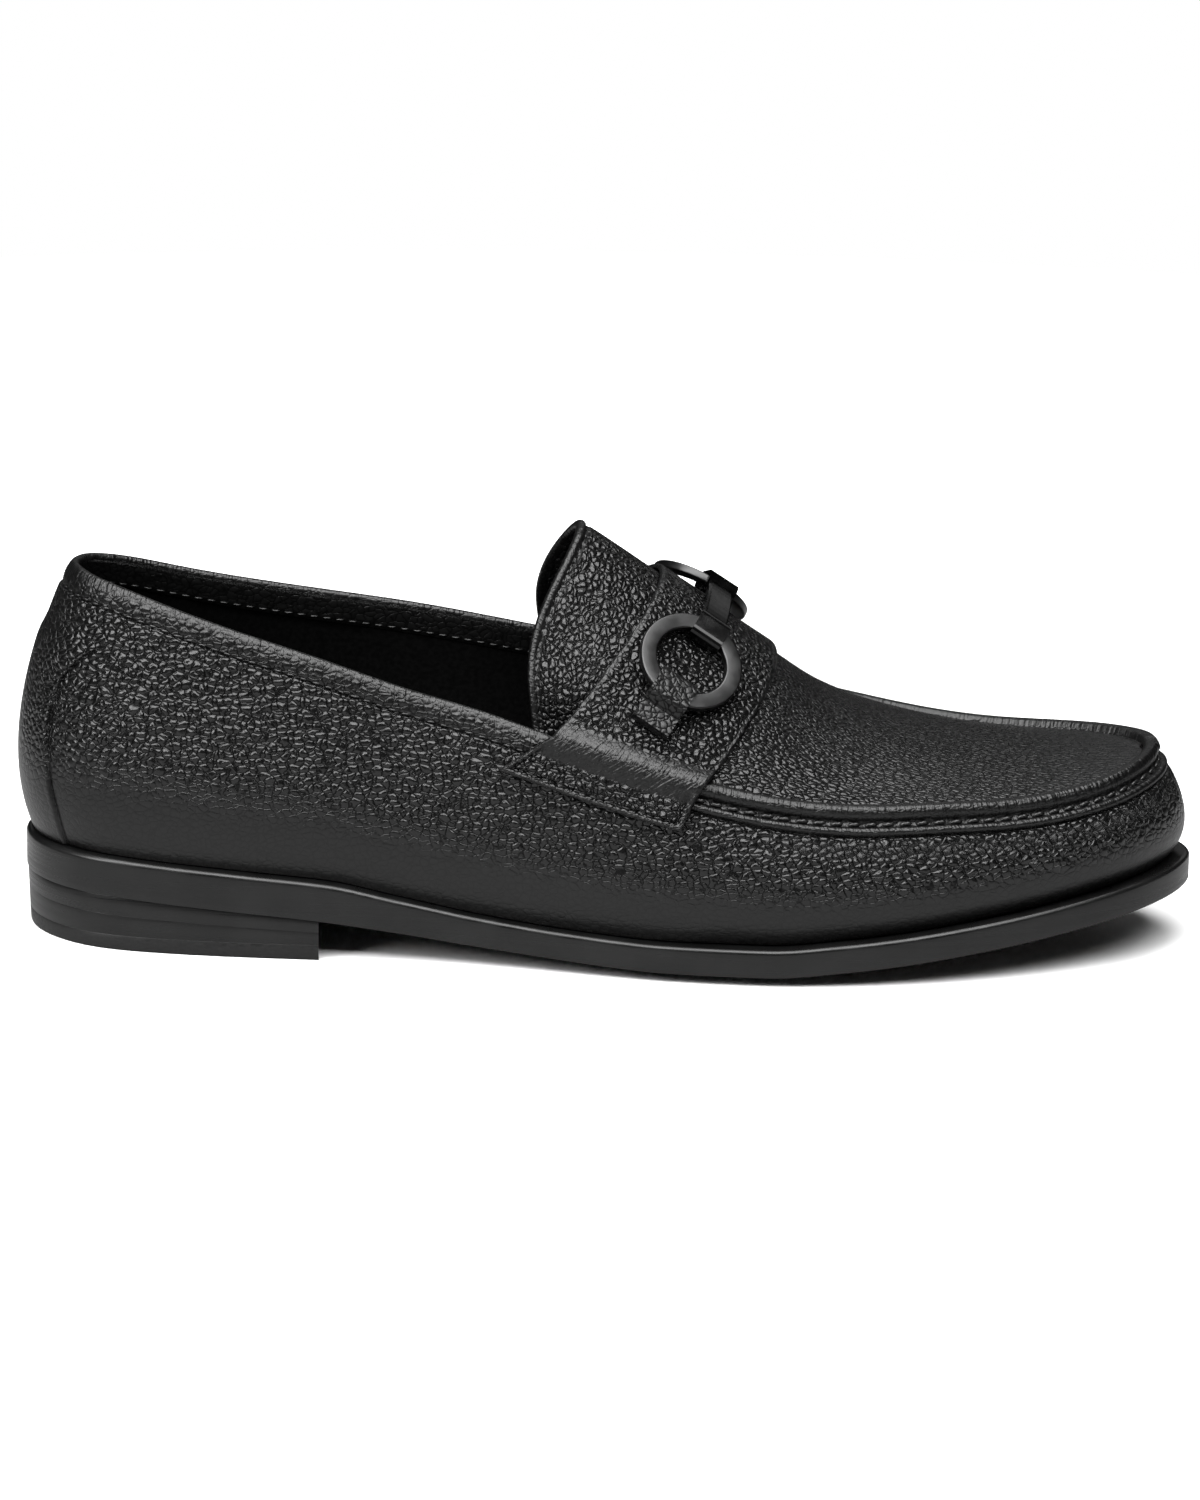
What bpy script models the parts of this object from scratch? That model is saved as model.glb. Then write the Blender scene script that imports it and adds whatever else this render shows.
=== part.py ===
"""A bit loafer for the right foot: moccasin upper, tongue, saddle strap with a bit, leather sole.

Units are metres. +X points to the toe, +Z is up, and the outer (lateral) side of the foot is at -Y.
The shoe stands on its heel and on the flat spot of its forefoot, at Z = 0.
Every surface of the upper comes from one set of sections. A section runs from the feather edge, where the
upper meets the sole, up the wall to the top line, and from there over the instep to the other side.
"""

import math

import bmesh
import bpy
import numpy as np
from mathutils import Matrix, Vector

MM = 0.001

# Sole and heel
SOLE_LENGTH = 302 * MM
BALL_WIDTH = 103 * MM
SOLE_THICKNESS = 7.3 * MM
HEEL_RAND = 2.7 * MM
SOLE_EDGE_BEVEL = 0.9 * MM
HEEL_RISE = 15.2 * MM
TOE_SPRING = 16.1 * MM
SOLE_CUP = 2.5 * MM
TOP_LIFT = 4.0 * MM
BREAST_ALONG = 78.6 * MM
BREAST_HOLLOW = 3.0 * MM
HEEL_INSET = 0.3 * MM
HEEL_TAPER = 0.6 * MM
EDGE_EASE = 0.4 * MM

# Upper
FEATHER_INSET_HEEL = 3.0 * MM
FEATHER_INSET_TOE = 4.8 * MM
BACK_HEIGHT = 70.5 * MM
TOE_HEIGHT = 28.2 * MM
INSTEP_RISE = 36.0 * MM
INSTEP_LEAN = 27.0 * MM
BELLY = 8.0 * MM
WALL = 2.4 * MM
COLLAR_BAND = 7.2 * MM
QUARTER_STEP = 0.5 * MM
BACK_STEP = 0.8 * MM
SEAM_RIDGE = 2.1 * MM
SEAM_RIDGE_HALF = 1.9 * MM
SEAM_WELT = 0.9 * MM
SEAM_WELT_AT = 3.4 * MM

# Tongue, strap and insole
TONGUE_THICKNESS = 2.2 * MM
TONGUE_TUCK = 4.6 * MM
TONGUE_DROP = 7.0 * MM
TONGUE_EDGE_POWER = 8.0
TONGUE_SNUG_FROM = 0.22
TONGUE_SNUG_OVER = 0.30
STRAP_THICKNESS = 1.5 * MM
STRAP_TAB = 13.5 * MM
STRAP_ROLL = 2.7 * MM
STRAP_ROLL_HALF = 6.0 * MM
LEATHER_EDGE = 0.5 * MM
INSOLE_THICKNESS = 3.4 * MM

# Bit and its leather keepers
RING_RADIUS = 11.5 * MM
RING_BAND = 4.2 * MM
RING_THICKNESS = 2.2 * MM
RING_FROM_CROWN = 23.5 * MM
RING_BEVEL = 0.5 * MM
BAR_WIDTH = 7.0 * MM
BAR_THICKNESS = 2.4 * MM
CLASP_LENGTH = 8.6 * MM
CLASP_WALL = 1.1 * MM
KEEPER_WIDTH = 10.5 * MM
KEEPER_LEATHER = 1.1 * MM
KEEPER_TAIL = 5.0 * MM
KEEPER_HALF_SHARE = 0.2

# Clearance between pieces that touch on the real shoe
GAP = 0.3 * MM

# One row for each section, from the middle of the heel to the tip of the toe.
# Columns: place of the sole edge along the sole, its reach to the lateral and to the medial side;
# place of the top line along the sole, its reach to both sides; how far the height of the top line
# follows the toe height and not the back height; its height on both sides; fullness of the wall low down
# and high up. Places are shares of SOLE_LENGTH, reaches of half BALL_WIDTH, heights of the local height,
# and fullness of BELLY.
SECTION_COLUMNS = (
    "along", "lateral", "medial", "top_along", "top_lateral", "top_medial",
    "toe_part", "lateral_height", "medial_height", "belly_low", "belly_high",
)
SECTIONS = (
    (0.000, 0.000, 0.000, 0.041, 0.000, 0.000, 0.00, 0.999, 0.999, 1.08, 1.30),
    (0.010, 0.243, 0.243, 0.046, 0.155, 0.155, 0.00, 1.005, 0.992, 1.06, 1.18),
    (0.035, 0.437, 0.427, 0.063, 0.291, 0.282, 0.00, 0.991, 0.976, 1.00, 1.00),
    (0.073, 0.575, 0.559, 0.093, 0.388, 0.375, 0.00, 0.964, 0.949, 0.94, 0.88),
    (0.126, 0.645, 0.621, 0.139, 0.466, 0.443, 0.00, 0.918, 0.915, 0.88, 0.75),
    (0.192, 0.680, 0.641, 0.199, 0.524, 0.495, 0.00, 0.861, 0.887, 0.81, 0.63),
    (0.265, 0.695, 0.627, 0.265, 0.563, 0.534, 0.05, 0.830, 0.896, 0.75, 0.56),
    (0.338, 0.707, 0.602, 0.331, 0.592, 0.563, 0.15, 0.856, 0.977, 0.69, 0.56),
    (0.411, 0.757, 0.606, 0.394, 0.641, 0.592, 0.30, 0.933, 1.087, 0.69, 0.63),
    (0.483, 0.841, 0.680, 0.457, 0.718, 0.641, 0.45, 0.978, 1.179, 0.75, 0.69),
    (0.556, 0.920, 0.825, 0.520, 0.786, 0.713, 0.60, 1.005, 1.248, 0.81, 0.81),
    (0.629, 0.957, 0.961, 0.583, 0.816, 0.783, 0.75, 1.026, 1.299, 0.88, 0.94),
    (0.695, 0.948, 1.033, 0.646, 0.816, 0.835, 0.87, 1.026, 1.309, 0.88, 0.94),
    (0.758, 0.901, 1.041, 0.709, 0.786, 0.854, 0.95, 1.016, 1.248, 0.88, 0.94),
    (0.818, 0.814, 0.979, 0.768, 0.728, 0.835, 1.00, 1.011, 1.145, 0.88, 0.94),
    (0.871, 0.699, 0.874, 0.821, 0.650, 0.767, 1.00, 0.932, 1.028, 0.88, 0.97),
    (0.917, 0.561, 0.738, 0.866, 0.553, 0.670, 1.00, 0.883, 0.979, 0.85, 1.00),
    (0.955, 0.398, 0.573, 0.907, 0.427, 0.544, 1.00, 0.883, 0.968, 0.81, 1.04),
    (0.983, 0.194, 0.379, 0.938, 0.272, 0.398, 1.00, 0.925, 0.975, 0.81, 1.06),
    (0.996, 0.029, 0.233, 0.958, 0.087, 0.233, 1.00, 0.975, 0.993, 0.81, 1.06),
    (1.000, -0.097, 0.097, 0.963, -0.078, 0.078, 1.00, 1.000, 1.000, 0.81, 1.06),
)
LAST_ROW = len(SECTIONS) - 1

# The crown of the instep over the same rows, from the row named first: how far it lies in front of the
# top line, as a share of INSTEP_LEAN, and above it, as a share of INSTEP_RISE, and the power that shapes
# the arch, 1 for an ellipse and 2 for a parabola.
CROWN_FIRST_ROW = 7
CROWN = (
    (1.07, 1.148, 1.45), (1.00, 0.983, 1.45), (0.93, 0.787, 1.50), (0.78, 0.630, 1.58),
    (0.63, 0.492, 1.66), (0.48, 0.320, 1.74), (0.35, 0.216, 1.80), (0.26, 0.162, 1.80),
    (0.185, 0.128, 1.80), (0.13, 0.099, 1.80), (0.074, 0.062, 1.80), (0.03, 0.031, 1.80),
    (0.007, 0.009, 1.80), (0.0, 0.0, 1.80),
)

# The underside along the sole: place, share of HEEL_RISE, share of TOE_SPRING, share of SOLE_CUP,
# share of HEEL_RAND that the sole is thicker by.
UNDERSIDE = (
    (0.00, 1.000, 0.000, 0.00, 1.00),
    (0.07, 0.960, 0.000, 0.00, 1.00),
    (0.14, 0.870, 0.000, 0.00, 1.00),
    (0.20, 0.785, 0.000, 0.00, 1.00),
    (0.265, 0.680, 0.000, 0.00, 1.00),
    (0.33, 0.462, 0.000, 0.35, 0.50),
    (0.395, 0.240, 0.000, 0.75, 0.15),
    (0.46, 0.100, 0.000, 0.95, 0.00),
    (0.51, 0.030, 0.000, 1.00, 0.00),
    (0.55, 0.000, 0.000, 1.00, 0.00),
    (0.64, 0.000, 0.000, 1.00, 0.00),
    (0.70, 0.000, 0.093, 1.00, 0.00),
    (0.75, 0.000, 0.202, 0.95, 0.00),
    (0.80, 0.000, 0.340, 0.85, 0.00),
    (0.85, 0.000, 0.494, 0.70, 0.00),
    (0.90, 0.000, 0.665, 0.50, 0.00),
    (0.95, 0.000, 0.847, 0.25, 0.00),
    (1.00, 0.000, 1.000, 0.00, 0.00),
)
CUP_STARTS = 0.45

# The raised edge of the back piece: height on the wall, as a share, and the row that it passes through.
BACK_EDGE = (
    (0.0, 2.05), (0.12, 1.97), (0.28, 1.77), (0.45, 1.66), (0.60, 1.85), (0.70, 2.25), (0.80, 2.90),
)
BACK_EDGE_ENDS = 0.80
BACK_EDGE_SLOPE = 0.09

# Rows where the throat, the tongue and the strap begin and end
THROAT_ROW = 10.0
TONGUE_TOP_ROW = 7.80
TONGUE_SIDE_ROW = 8.70
TONGUE_DIVE_ROW = 9.35
TONGUE_END_ROW = 10.4
STRAP_REAR_ROW = 9.0
STRAP_FRONT_ROW = 11.0
TAB_REAR_ROW = 8.25
TAB_FRONT_ROW = 10.6
BIT_ROW = 9.86

# How finely the surfaces are sampled
SECTION_STEP = 0.5
CURVE_SAMPLES = 33


def smooth_step(x):
    """0 below 0, 1 above 1, and a smooth rise between."""
    x = np.clip(x, 0.0, 1.0)
    return x * x * (3.0 - 2.0 * x)


def unit(v):
    """v at length 1."""
    v = np.asarray(v, float)
    return v / np.maximum(np.linalg.norm(v, axis=-1, keepdims=True), 1e-12)


class ClosedSpline:
    """A smooth closed curve through points that lie one unit of its parameter apart."""

    def __init__(self, points):
        self.points = np.asarray(points, float).reshape(len(points), -1)
        n = len(self.points)
        system = 4.0 * np.eye(n) + np.roll(np.eye(n), 1, 1) + np.roll(np.eye(n), -1, 1)
        ahead = np.roll(self.points, -1, 0)
        behind = np.roll(self.points, 1, 0)
        self.slopes = np.linalg.solve(system, 3.0 * (ahead - behind))

    def at(self, u):
        n = len(self.points)
        i = int(math.floor(u)) % n
        j = (i + 1) % n
        s = u - math.floor(u)
        h1 = (1 + 2 * s) * (1 - s) ** 2
        h2 = s * (1 - s) ** 2
        h3 = s * s * (3 - 2 * s)
        h4 = s * s * (s - 1)
        return h1 * self.points[i] + h2 * self.slopes[i] + h3 * self.points[j] + h4 * self.slopes[j]

    def slope(self, u):
        small = 1e-4
        return (self.at(u + small) - self.at(u - small)) / (2 * small)


def round_loop(lateral, medial):
    """The closed spline through the lateral rows from heel to toe and the medial rows back to the heel."""
    return ClosedSpline(list(lateral) + list(medial)[-2:0:-1])


def column(name):
    """One column of SECTIONS."""
    return [row[SECTION_COLUMNS.index(name)] for row in SECTIONS]


def loop_place(side, row):
    """Where a row of one side lies on the closed loops. Side is -1 for lateral and 1 for medial."""
    return row if side < 0 else 2 * LAST_ROW - row


def table_value(rows, place, which):
    """A value between the rows of a table, read along a curve that doesn't overshoot."""
    places = np.array([row[0] for row in rows])
    values = np.array([row[which] for row in rows])
    gaps = np.diff(places)
    rates = np.diff(values) / gaps
    slopes = np.zeros(len(values))
    product = rates[1:] * rates[:-1]
    slopes[1:-1] = np.where(product > 0, 2 * product / (rates[1:] + rates[:-1] + 1e-12), 0)
    slopes[0], slopes[-1] = rates[0], rates[-1]
    place = min(max(place, places[0]), places[-1])
    i = min(int(np.searchsorted(places, place, side="right")) - 1, len(gaps) - 1)
    s = (place - places[i]) / gaps[i]
    return (
        (1 + 2 * s) * (1 - s) ** 2 * values[i]
        + s * (1 - s) ** 2 * gaps[i] * slopes[i]
        + s * s * (3 - 2 * s) * values[i + 1]
        + s * s * (s - 1) * gaps[i] * slopes[i + 1]
    )


HALF_BALL = BALL_WIDTH / 2
SOLE_EDGE = round_loop(
    [(a * SOLE_LENGTH, -r * HALF_BALL) for a, r in zip(column("along"), column("lateral"))],
    [(a * SOLE_LENGTH, r * HALF_BALL) for a, r in zip(column("along"), column("medial"))],
)


def reach_samples(side):
    """The sole edge of one side as places along the sole and reaches."""
    points = [SOLE_EDGE.at(loop_place(side, row)) for row in np.linspace(0, LAST_ROW, 401)]
    return np.array(points).T


REACHES = {-1: reach_samples(-1), 1: reach_samples(1)}


def side_reach(x, side):
    """How far the sole reaches to one side of Y = 0, at a place along it."""
    return float(np.interp(x, *REACHES[side]))


def cup(x, y):
    """How far the sole curls up at its sides, at a point of its plan."""
    here = min(max(x, 0.0), SOLE_LENGTH)
    left, right = side_reach(here, -1), side_reach(here, 1)
    share = abs(2 * y - left - right) / max(right - left, 1 * MM)
    amount = table_value(UNDERSIDE, x / SOLE_LENGTH, 3)
    return SOLE_CUP * amount * smooth_step((share - CUP_STARTS) / (1 - CUP_STARTS))


def under_height(x):
    """Height of the underside of the outsole along its middle."""
    place = x / SOLE_LENGTH
    return HEEL_RISE * table_value(UNDERSIDE, place, 1) + TOE_SPRING * table_value(UNDERSIDE, place, 2)


def sole_depth(x):
    """Thickness of the outsole with the rand on its heel part."""
    return SOLE_THICKNESS + HEEL_RAND * table_value(UNDERSIDE, x / SOLE_LENGTH, 4)


def seat_height(x, y):
    """Height of the top face of the outsole."""
    return under_height(x) + sole_depth(x) + cup(x, y)


def edge_outward(u):
    """The direction, in plan, that points out of the sole edge."""
    along = SOLE_EDGE.slope(u)
    return unit(np.array([-along[1], along[0]])) * -1.0


def edge_point(u, inset):
    """A point of the sole edge, moved inwards."""
    return SOLE_EDGE.at(u) - edge_outward(u) * inset


def feather_inset(u):
    """How far the upper stands in from the sole edge."""
    row = u if u <= LAST_ROW else 2 * LAST_ROW - u
    return FEATHER_INSET_HEEL + (FEATHER_INSET_TOE - FEATHER_INSET_HEEL) * smooth_step(row / (LAST_ROW / 2))


def feather_point(u):
    """Where the outer face of the upper meets the sole."""
    x, y = edge_point(u, feather_inset(u))
    return np.array([x, y, seat_height(x, y) + 1.4 * GAP])


def top_row(i, side):
    """The top line at one row of the table."""
    place, toe = column("top_along")[i], column("toe_part")[i]
    reach = column("top_lateral" if side < 0 else "top_medial")[i]
    height = column("lateral_height" if side < 0 else "medial_height")[i]
    local = BACK_HEIGHT + (TOE_HEIGHT - BACK_HEIGHT) * toe
    base = feather_point(loop_place(side, i))[2]
    return (place * SOLE_LENGTH, side * reach * HALF_BALL, base + local * height)


ROWS = range(len(SECTIONS))
TOP_LINE = round_loop([top_row(i, -1) for i in ROWS], [top_row(i, 1) for i in ROWS])
FULLNESS = round_loop(
    [(low, high) for low, high in zip(column("belly_low"), column("belly_high"))],
    [(low, high) for low, high in zip(column("belly_low"), column("belly_high"))],
)
LOW_HANDLE = 0.28
HIGH_HANDLE = 0.32


def evenly(points):
    """A function that gives the point at a distance along a polyline, and the polyline's length."""
    points = np.asarray(points, float)
    steps = np.linalg.norm(np.diff(points, axis=0), axis=1)
    length = np.concatenate([[0.0], np.cumsum(steps)])

    def at(distance):
        return np.array([np.interp(distance, length, points[:, k]) for k in range(3)])

    return at, length[-1]


def wall_curve(u):
    """The wall's outer face at one place of the loop, by distance from its top, and its length."""
    foot = feather_point(u)
    top = TOP_LINE.at(u)
    out = np.append(edge_outward(u), 0.0)
    low, high = FULLNESS.at(u) * BELLY
    height = top[2] - foot[2]
    up = np.array([0.0, 0.0, 1.0])
    handle_low = foot + out * low + up * height * LOW_HANDLE
    handle_high = top + out * high - up * height * HIGH_HANDLE
    s = np.linspace(0, 1, CURVE_SAMPLES)[:, None]
    points = (
        (1 - s) ** 3 * top
        + 3 * s * (1 - s) ** 2 * handle_high
        + 3 * s * s * (1 - s) * handle_low
        + s ** 3 * foot
    )
    return evenly(points)


def crown_rows():
    """The crown at each row that has one: row, place ahead of the top line, height above it, power."""
    ahead = [INSTEP_LEAN * row[0] for row in CROWN]
    above = [INSTEP_RISE * row[1] for row in CROWN]
    power = [row[2] for row in CROWN]
    return list(zip(range(CROWN_FIRST_ROW, LAST_ROW + 1), ahead, above, power))


CROWN_ROWS = crown_rows()


def arch_points(row, angles, tuck=0.0, drop=0.0, snug=0.0):
    """Points of the arch over the foot, from the lateral top line at angle 0 to the medial one at pi.

    Tuck moves both feet of the arch towards each other, and drop lowers them. With snug at 1 they act
    near the feet alone, and above them the arch keeps its place.
    """
    left = TOP_LINE.at(loop_place(-1, row))
    right = TOP_LINE.at(loop_place(1, row))
    middle = (left + right) / 2
    half = (left - right) / 2
    width = np.linalg.norm(half)
    inwards = -half * min(tuck / max(width, 1e-9), 1.0)
    down = np.array([0.0, 0.0, -drop])
    rise = np.array([table_value(CROWN_ROWS, row, 1), 0.0, table_value(CROWN_ROWS, row, 2)])
    angles = np.asarray(angles, float)[:, None]
    height = np.abs(np.sin(angles))
    lift = height ** table_value(CROWN_ROWS, row, 3)
    near_feet = 1.0 - snug * smooth_step((height - TONGUE_SNUG_FROM) / TONGUE_SNUG_OVER)
    hang = (down * (1 - lift) + inwards * np.cos(angles)) * near_feet
    return middle + half * np.cos(angles) + rise * lift + hang


def instep_curve(row):
    """The arch over the foot as a function of the distance from its lateral end, and its length."""
    return evenly(arch_points(row, np.linspace(0, math.pi, 2 * CURVE_SAMPLES)))


def grid_normals(grid, closed):
    """Unit normals of a grid of points, first index around or along, second index across."""
    grid = np.asarray(grid, float)
    if closed:
        first = np.roll(grid, -1, 0) - np.roll(grid, 1, 0)
    else:
        first = np.gradient(grid, axis=0)
    second = np.gradient(grid, axis=1)
    return unit(np.cross(first, second))


def bump(distance, half, height):
    """A rounded ridge that ends at half to each side."""
    share = np.clip(np.abs(distance) / max(half, 1e-9), 0, 1)
    return height * np.cos(share * math.pi / 2) ** 1.5


def seam_share(row):
    """0 where the top line is a collar, 1 where it is the seam of the apron."""
    return float(smooth_step((row - (STRAP_FRONT_ROW - 1.0)) / 0.8))


def collar_share(row):
    """1 on the collar, 0 from the strap forward."""
    return 1.0 - float(smooth_step((row - STRAP_REAR_ROW) / 0.8))


def back_edge_row(height_share):
    """The row that the edge of the back piece passes through at a height on the wall."""
    return table_value(BACK_EDGE, min(height_share, BACK_EDGE_ENDS), 1)


# Rows of the wall: distance from the top line, and then shares of what is left below
TOP_DISTANCES = (
    0.0, 0.9 * MM, SEAM_RIDGE_HALF, SEAM_WELT_AT, 4.8 * MM, COLLAR_BAND - 0.3 * MM, COLLAR_BAND + 0.3 * MM,
)
LOWER_SHARES = (0.16, 0.34, 0.52, 0.70, 0.84, 0.93, 1.0)
RIM_ROUND = 0.7 * MM


def wall_offset(row, distance, depth_share, back_row):
    """How far the outer face of the upper stands out from its plain form."""
    seam = seam_share(row)
    collar = collar_share(row)
    ridge = bump(distance, SEAM_RIDGE_HALF, SEAM_RIDGE)
    welt = bump(distance - SEAM_WELT_AT, 1.4 * MM, SEAM_WELT)
    rim = -RIM_ROUND if distance == 0 else 0.0
    quarter = QUARTER_STEP * float(distance > COLLAR_BAND)
    height = 1.0 - depth_share
    fade = float(smooth_step((BACK_EDGE_ENDS - height) / 0.12))
    back = BACK_STEP * fade * float(back_row)
    return seam * (ridge + welt) + collar * (rim + quarter) + back


def wall_columns():
    """For each column of the wall: side, its number, and whether it lies on the back piece."""
    inner = [(k / 3, "back") for k in range(4)] + [(share, "between") for share in (0.0, 0.3, 0.64)]
    first = 3.0
    rows = list(np.arange(first, LAST_ROW + SECTION_STEP / 2, SECTION_STEP))
    one_side = inner + [(float(r), "plain") for r in rows]
    lateral = [(-1, place, kind) for place, kind in one_side]
    medial = [(1, place, kind) for place, kind in one_side[1:-1]]
    return lateral + medial[::-1]


def column_row(place, kind, height_share):
    """The row of the section table that a column follows at a height on the wall."""
    if kind == "plain":
        blend = 1.0 - smooth_step((place - 3.0) / 2.0)
        push = max(back_edge_row(height_share) + 0.35 - 2.2, 0.0)
        return place + 0.55 * push * float(blend)
    edge = back_edge_row(height_share)
    if kind == "back":
        return edge * place
    start = edge + BACK_EDGE_SLOPE
    return start + (column_row(3.0, "plain", height_share) - start) * place


def wall_grids():
    """Outer and inner points of the wall, one row of points for each column, from the top down."""
    columns = wall_columns()
    base, offsets = [], []
    for side, place, kind in columns:
        line, line_offsets = [], []
        reference = column_row(place, kind, 0.9)
        _, length = wall_curve(loop_place(side, min(reference, LAST_ROW)))
        top = TOP_DISTANCES[-1]
        distances = list(TOP_DISTANCES) + [None] * len(LOWER_SHARES)
        for k, _ in enumerate(distances):
            if k < len(TOP_DISTANCES):
                share_down = TOP_DISTANCES[k] / length
            else:
                share_down = (top + (length - top) * LOWER_SHARES[k - len(TOP_DISTANCES)]) / length
            row = min(column_row(place, kind, 1.0 - share_down), float(LAST_ROW))
            curve, here = wall_curve(loop_place(side, row))
            distance = TOP_DISTANCES[k] if k < len(TOP_DISTANCES) else here * share_down
            line.append(curve(distance))
            line_offsets.append(wall_offset(row, distance, share_down, kind == "back"))
        base.append(line)
        offsets.append(line_offsets)
    base = np.array(base)
    offsets = np.array(offsets)
    return columns, base, offsets


APRON_EDGE_DISTANCES = (0.0, 0.9 * MM, SEAM_RIDGE_HALF, 3.6 * MM)
APRON_INNER_POINTS = 8


def apron_distances(length):
    """Distances along an arch, close together at both seams, for an arch of that length."""
    shrink = min(1.0, length / (5 * APRON_EDGE_DISTANCES[-1]))
    near = [d * shrink for d in APRON_EDGE_DISTANCES]
    inner = np.linspace(near[-1], length - near[-1], APRON_INNER_POINTS + 2)[1:-1]
    return near + list(inner) + [length - d for d in reversed(near)], shrink


def apron_grid(rows):
    """Base points and outward offsets of the apron, one line of points for each row."""
    base, offsets = [], []
    for row in rows:
        curve, length = instep_curve(row)
        distances, shrink = apron_distances(length)
        base.append([curve(d) for d in distances])
        from_seam = [min(d, length - d) for d in distances]
        ridge = [seam_share(row) * bump(d, SEAM_RIDGE_HALF * shrink, SEAM_RIDGE) for d in from_seam]
        offsets.append(ridge)
    return np.array(base), np.array(offsets)


def material(name, colour, roughness, metallic=0.0):
    """A Principled material with the part's own colour and gloss."""
    made = bpy.data.materials.new(name)
    made.use_nodes = True
    shader = made.node_tree.nodes["Principled BSDF"]
    shader.inputs["Base Color"].default_value = (*colour, 1.0)
    shader.inputs["Roughness"].default_value = roughness
    shader.inputs["Metallic"].default_value = metallic
    made.diffuse_color = (*colour, 1.0)
    return made


def mesh_object(name, points, faces, finish, sharp_degrees=40.0):
    """An object from points and faces, welded, facing outwards and shaded smooth."""
    bm = bmesh.new()
    verts = [bm.verts.new(p) for p in points]
    for face in faces:
        corners = []
        for index in face:
            if not corners or verts[index] is not corners[-1]:
                corners.append(verts[index])
        if len(set(corners)) > 2:
            bm.faces.new(corners)
    bmesh.ops.remove_doubles(bm, verts=bm.verts, dist=2e-6)
    bmesh.ops.dissolve_degenerate(bm, edges=bm.edges, dist=1e-6)
    bmesh.ops.recalc_face_normals(bm, faces=bm.faces)
    data = bpy.data.meshes.new(name)
    bm.to_mesh(data)
    bm.free()
    data.shade_smooth()
    data.set_sharp_from_angle(angle=math.radians(sharp_degrees))
    data.materials.append(finish)
    made = bpy.data.objects.new(name, data)
    bpy.context.scene.collection.objects.link(made)
    return made


class Shell:
    """Collects points and faces of a closed body made of grids."""

    def __init__(self):
        self.points = []
        self.faces = []

    def grid(self, points):
        """Adds a grid of points and returns their numbers in the same layout."""
        points = np.asarray(points, float)
        first = len(self.points)
        self.points.extend(points.reshape(-1, 3))
        return np.arange(first, first + points.shape[0] * points.shape[1]).reshape(points.shape[:2])

    def cover(self, numbers, closed=False):
        """Faces over a grid of numbers."""
        rows = numbers.shape[0]
        for i in range(rows if closed else rows - 1):
            j = (i + 1) % rows
            for k in range(numbers.shape[1] - 1):
                self.faces.append((numbers[i, k], numbers[j, k], numbers[j, k + 1], numbers[i, k + 1]))

    def strip(self, first, second, closed=False):
        """Faces between two lines of numbers."""
        self.cover(np.stack([np.asarray(first), np.asarray(second)], 1), closed)

    def slab(self, outer, inner):
        """A closed body between two grids of points of the same layout."""
        a = self.grid(outer)
        b = self.grid(inner)
        self.cover(a)
        self.cover(b)
        for pick in (np.s_[0, :], np.s_[-1, :], np.s_[:, 0], np.s_[:, -1]):
            self.strip(a[pick], b[pick])


def build_upper(finish):
    """The hollow upper: wall all round and apron over the toes, open at the collar and underneath."""
    columns, base, offsets = wall_grids()
    normals = grid_normals(base, closed=True)
    if (normals[0, 6] @ np.array([-1.0, 0.0, 0.0])) < 0:
        normals = -normals
    rows = [float(r) for r in np.arange(THROAT_ROW, LAST_ROW + SECTION_STEP / 2, SECTION_STEP)]
    arch, arch_offsets = apron_grid(rows)
    arch_normals = grid_normals(arch, closed=False)
    if arch_normals[2, arch.shape[1] // 2][2] < 0:
        arch_normals = -arch_normals
    arch_normals[-1, :] = arch_normals[-2, :]
    where = {(side, place): i for i, (side, place, kind) in enumerate(columns) if kind == "plain"}
    tip = where[(-1, float(LAST_ROW))]
    lateral = [where[(-1, r)] for r in rows]
    medial = [where.get((1, r), tip) for r in rows]
    for line, pick in ((lateral, 0), (medial, -1)):
        for k, i in enumerate(line):
            share = seam_share(rows[k])
            joint = unit(normals[i, 0] + arch_normals[k, pick] * share)
            normals[i, 0] = joint
    for k, (i, j) in enumerate(zip(lateral, medial)):
        arch_normals[k, 0] = normals[i, 0]
        arch_normals[k, -1] = normals[j, 0]
    arch_normals[-1, :] = normals[tip, 0]
    normals[:, -1, 2] = 0.0
    normals[:, -1] = unit(normals[:, -1])
    wall_outer = base + normals * offsets[..., None]
    inner_depth = np.full(offsets.shape, WALL)
    inner_depth[:, 0] = [WALL - RIM_ROUND * collar_share(min(place, LAST_ROW)) for _, place, _ in columns]
    wall_inner = base - normals * inner_depth[..., None]
    arch_outer = arch + arch_normals * arch_offsets[..., None]
    arch_inner = arch - arch_normals * WALL
    for k, (i, j) in enumerate(zip(lateral, medial)):
        arch_outer[k, 0], arch_outer[k, -1] = wall_outer[i, 0], wall_outer[j, 0]
        arch_inner[k, 0], arch_inner[k, -1] = wall_inner[i, 0], wall_inner[j, 0]
    shell = Shell()
    outer = shell.grid(wall_outer)
    every_other = np.r_[0, 4, 8:wall_inner.shape[1] - 1:2, wall_inner.shape[1] - 1]
    inner = shell.grid(wall_inner[:, every_other])
    shell.cover(outer, closed=True)
    shell.cover(inner, closed=True)
    shell.strip(outer[:, -1], inner[:, -1], closed=True)
    top_outer = shell.grid(arch_outer)
    top_inner = shell.grid(arch_inner)
    shell.cover(top_outer)
    shell.cover(top_inner)
    shell.strip(top_outer[0, :], top_inner[0, :])
    first, last = where[(-1, THROAT_ROW)], where[(1, THROAT_ROW)]
    collar = list(range(last, len(columns))) + list(range(0, first + 1))
    shell.strip(outer[collar, 0], inner[collar, 0])
    return mesh_object("upper", shell.points, shell.faces, finish)


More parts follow.
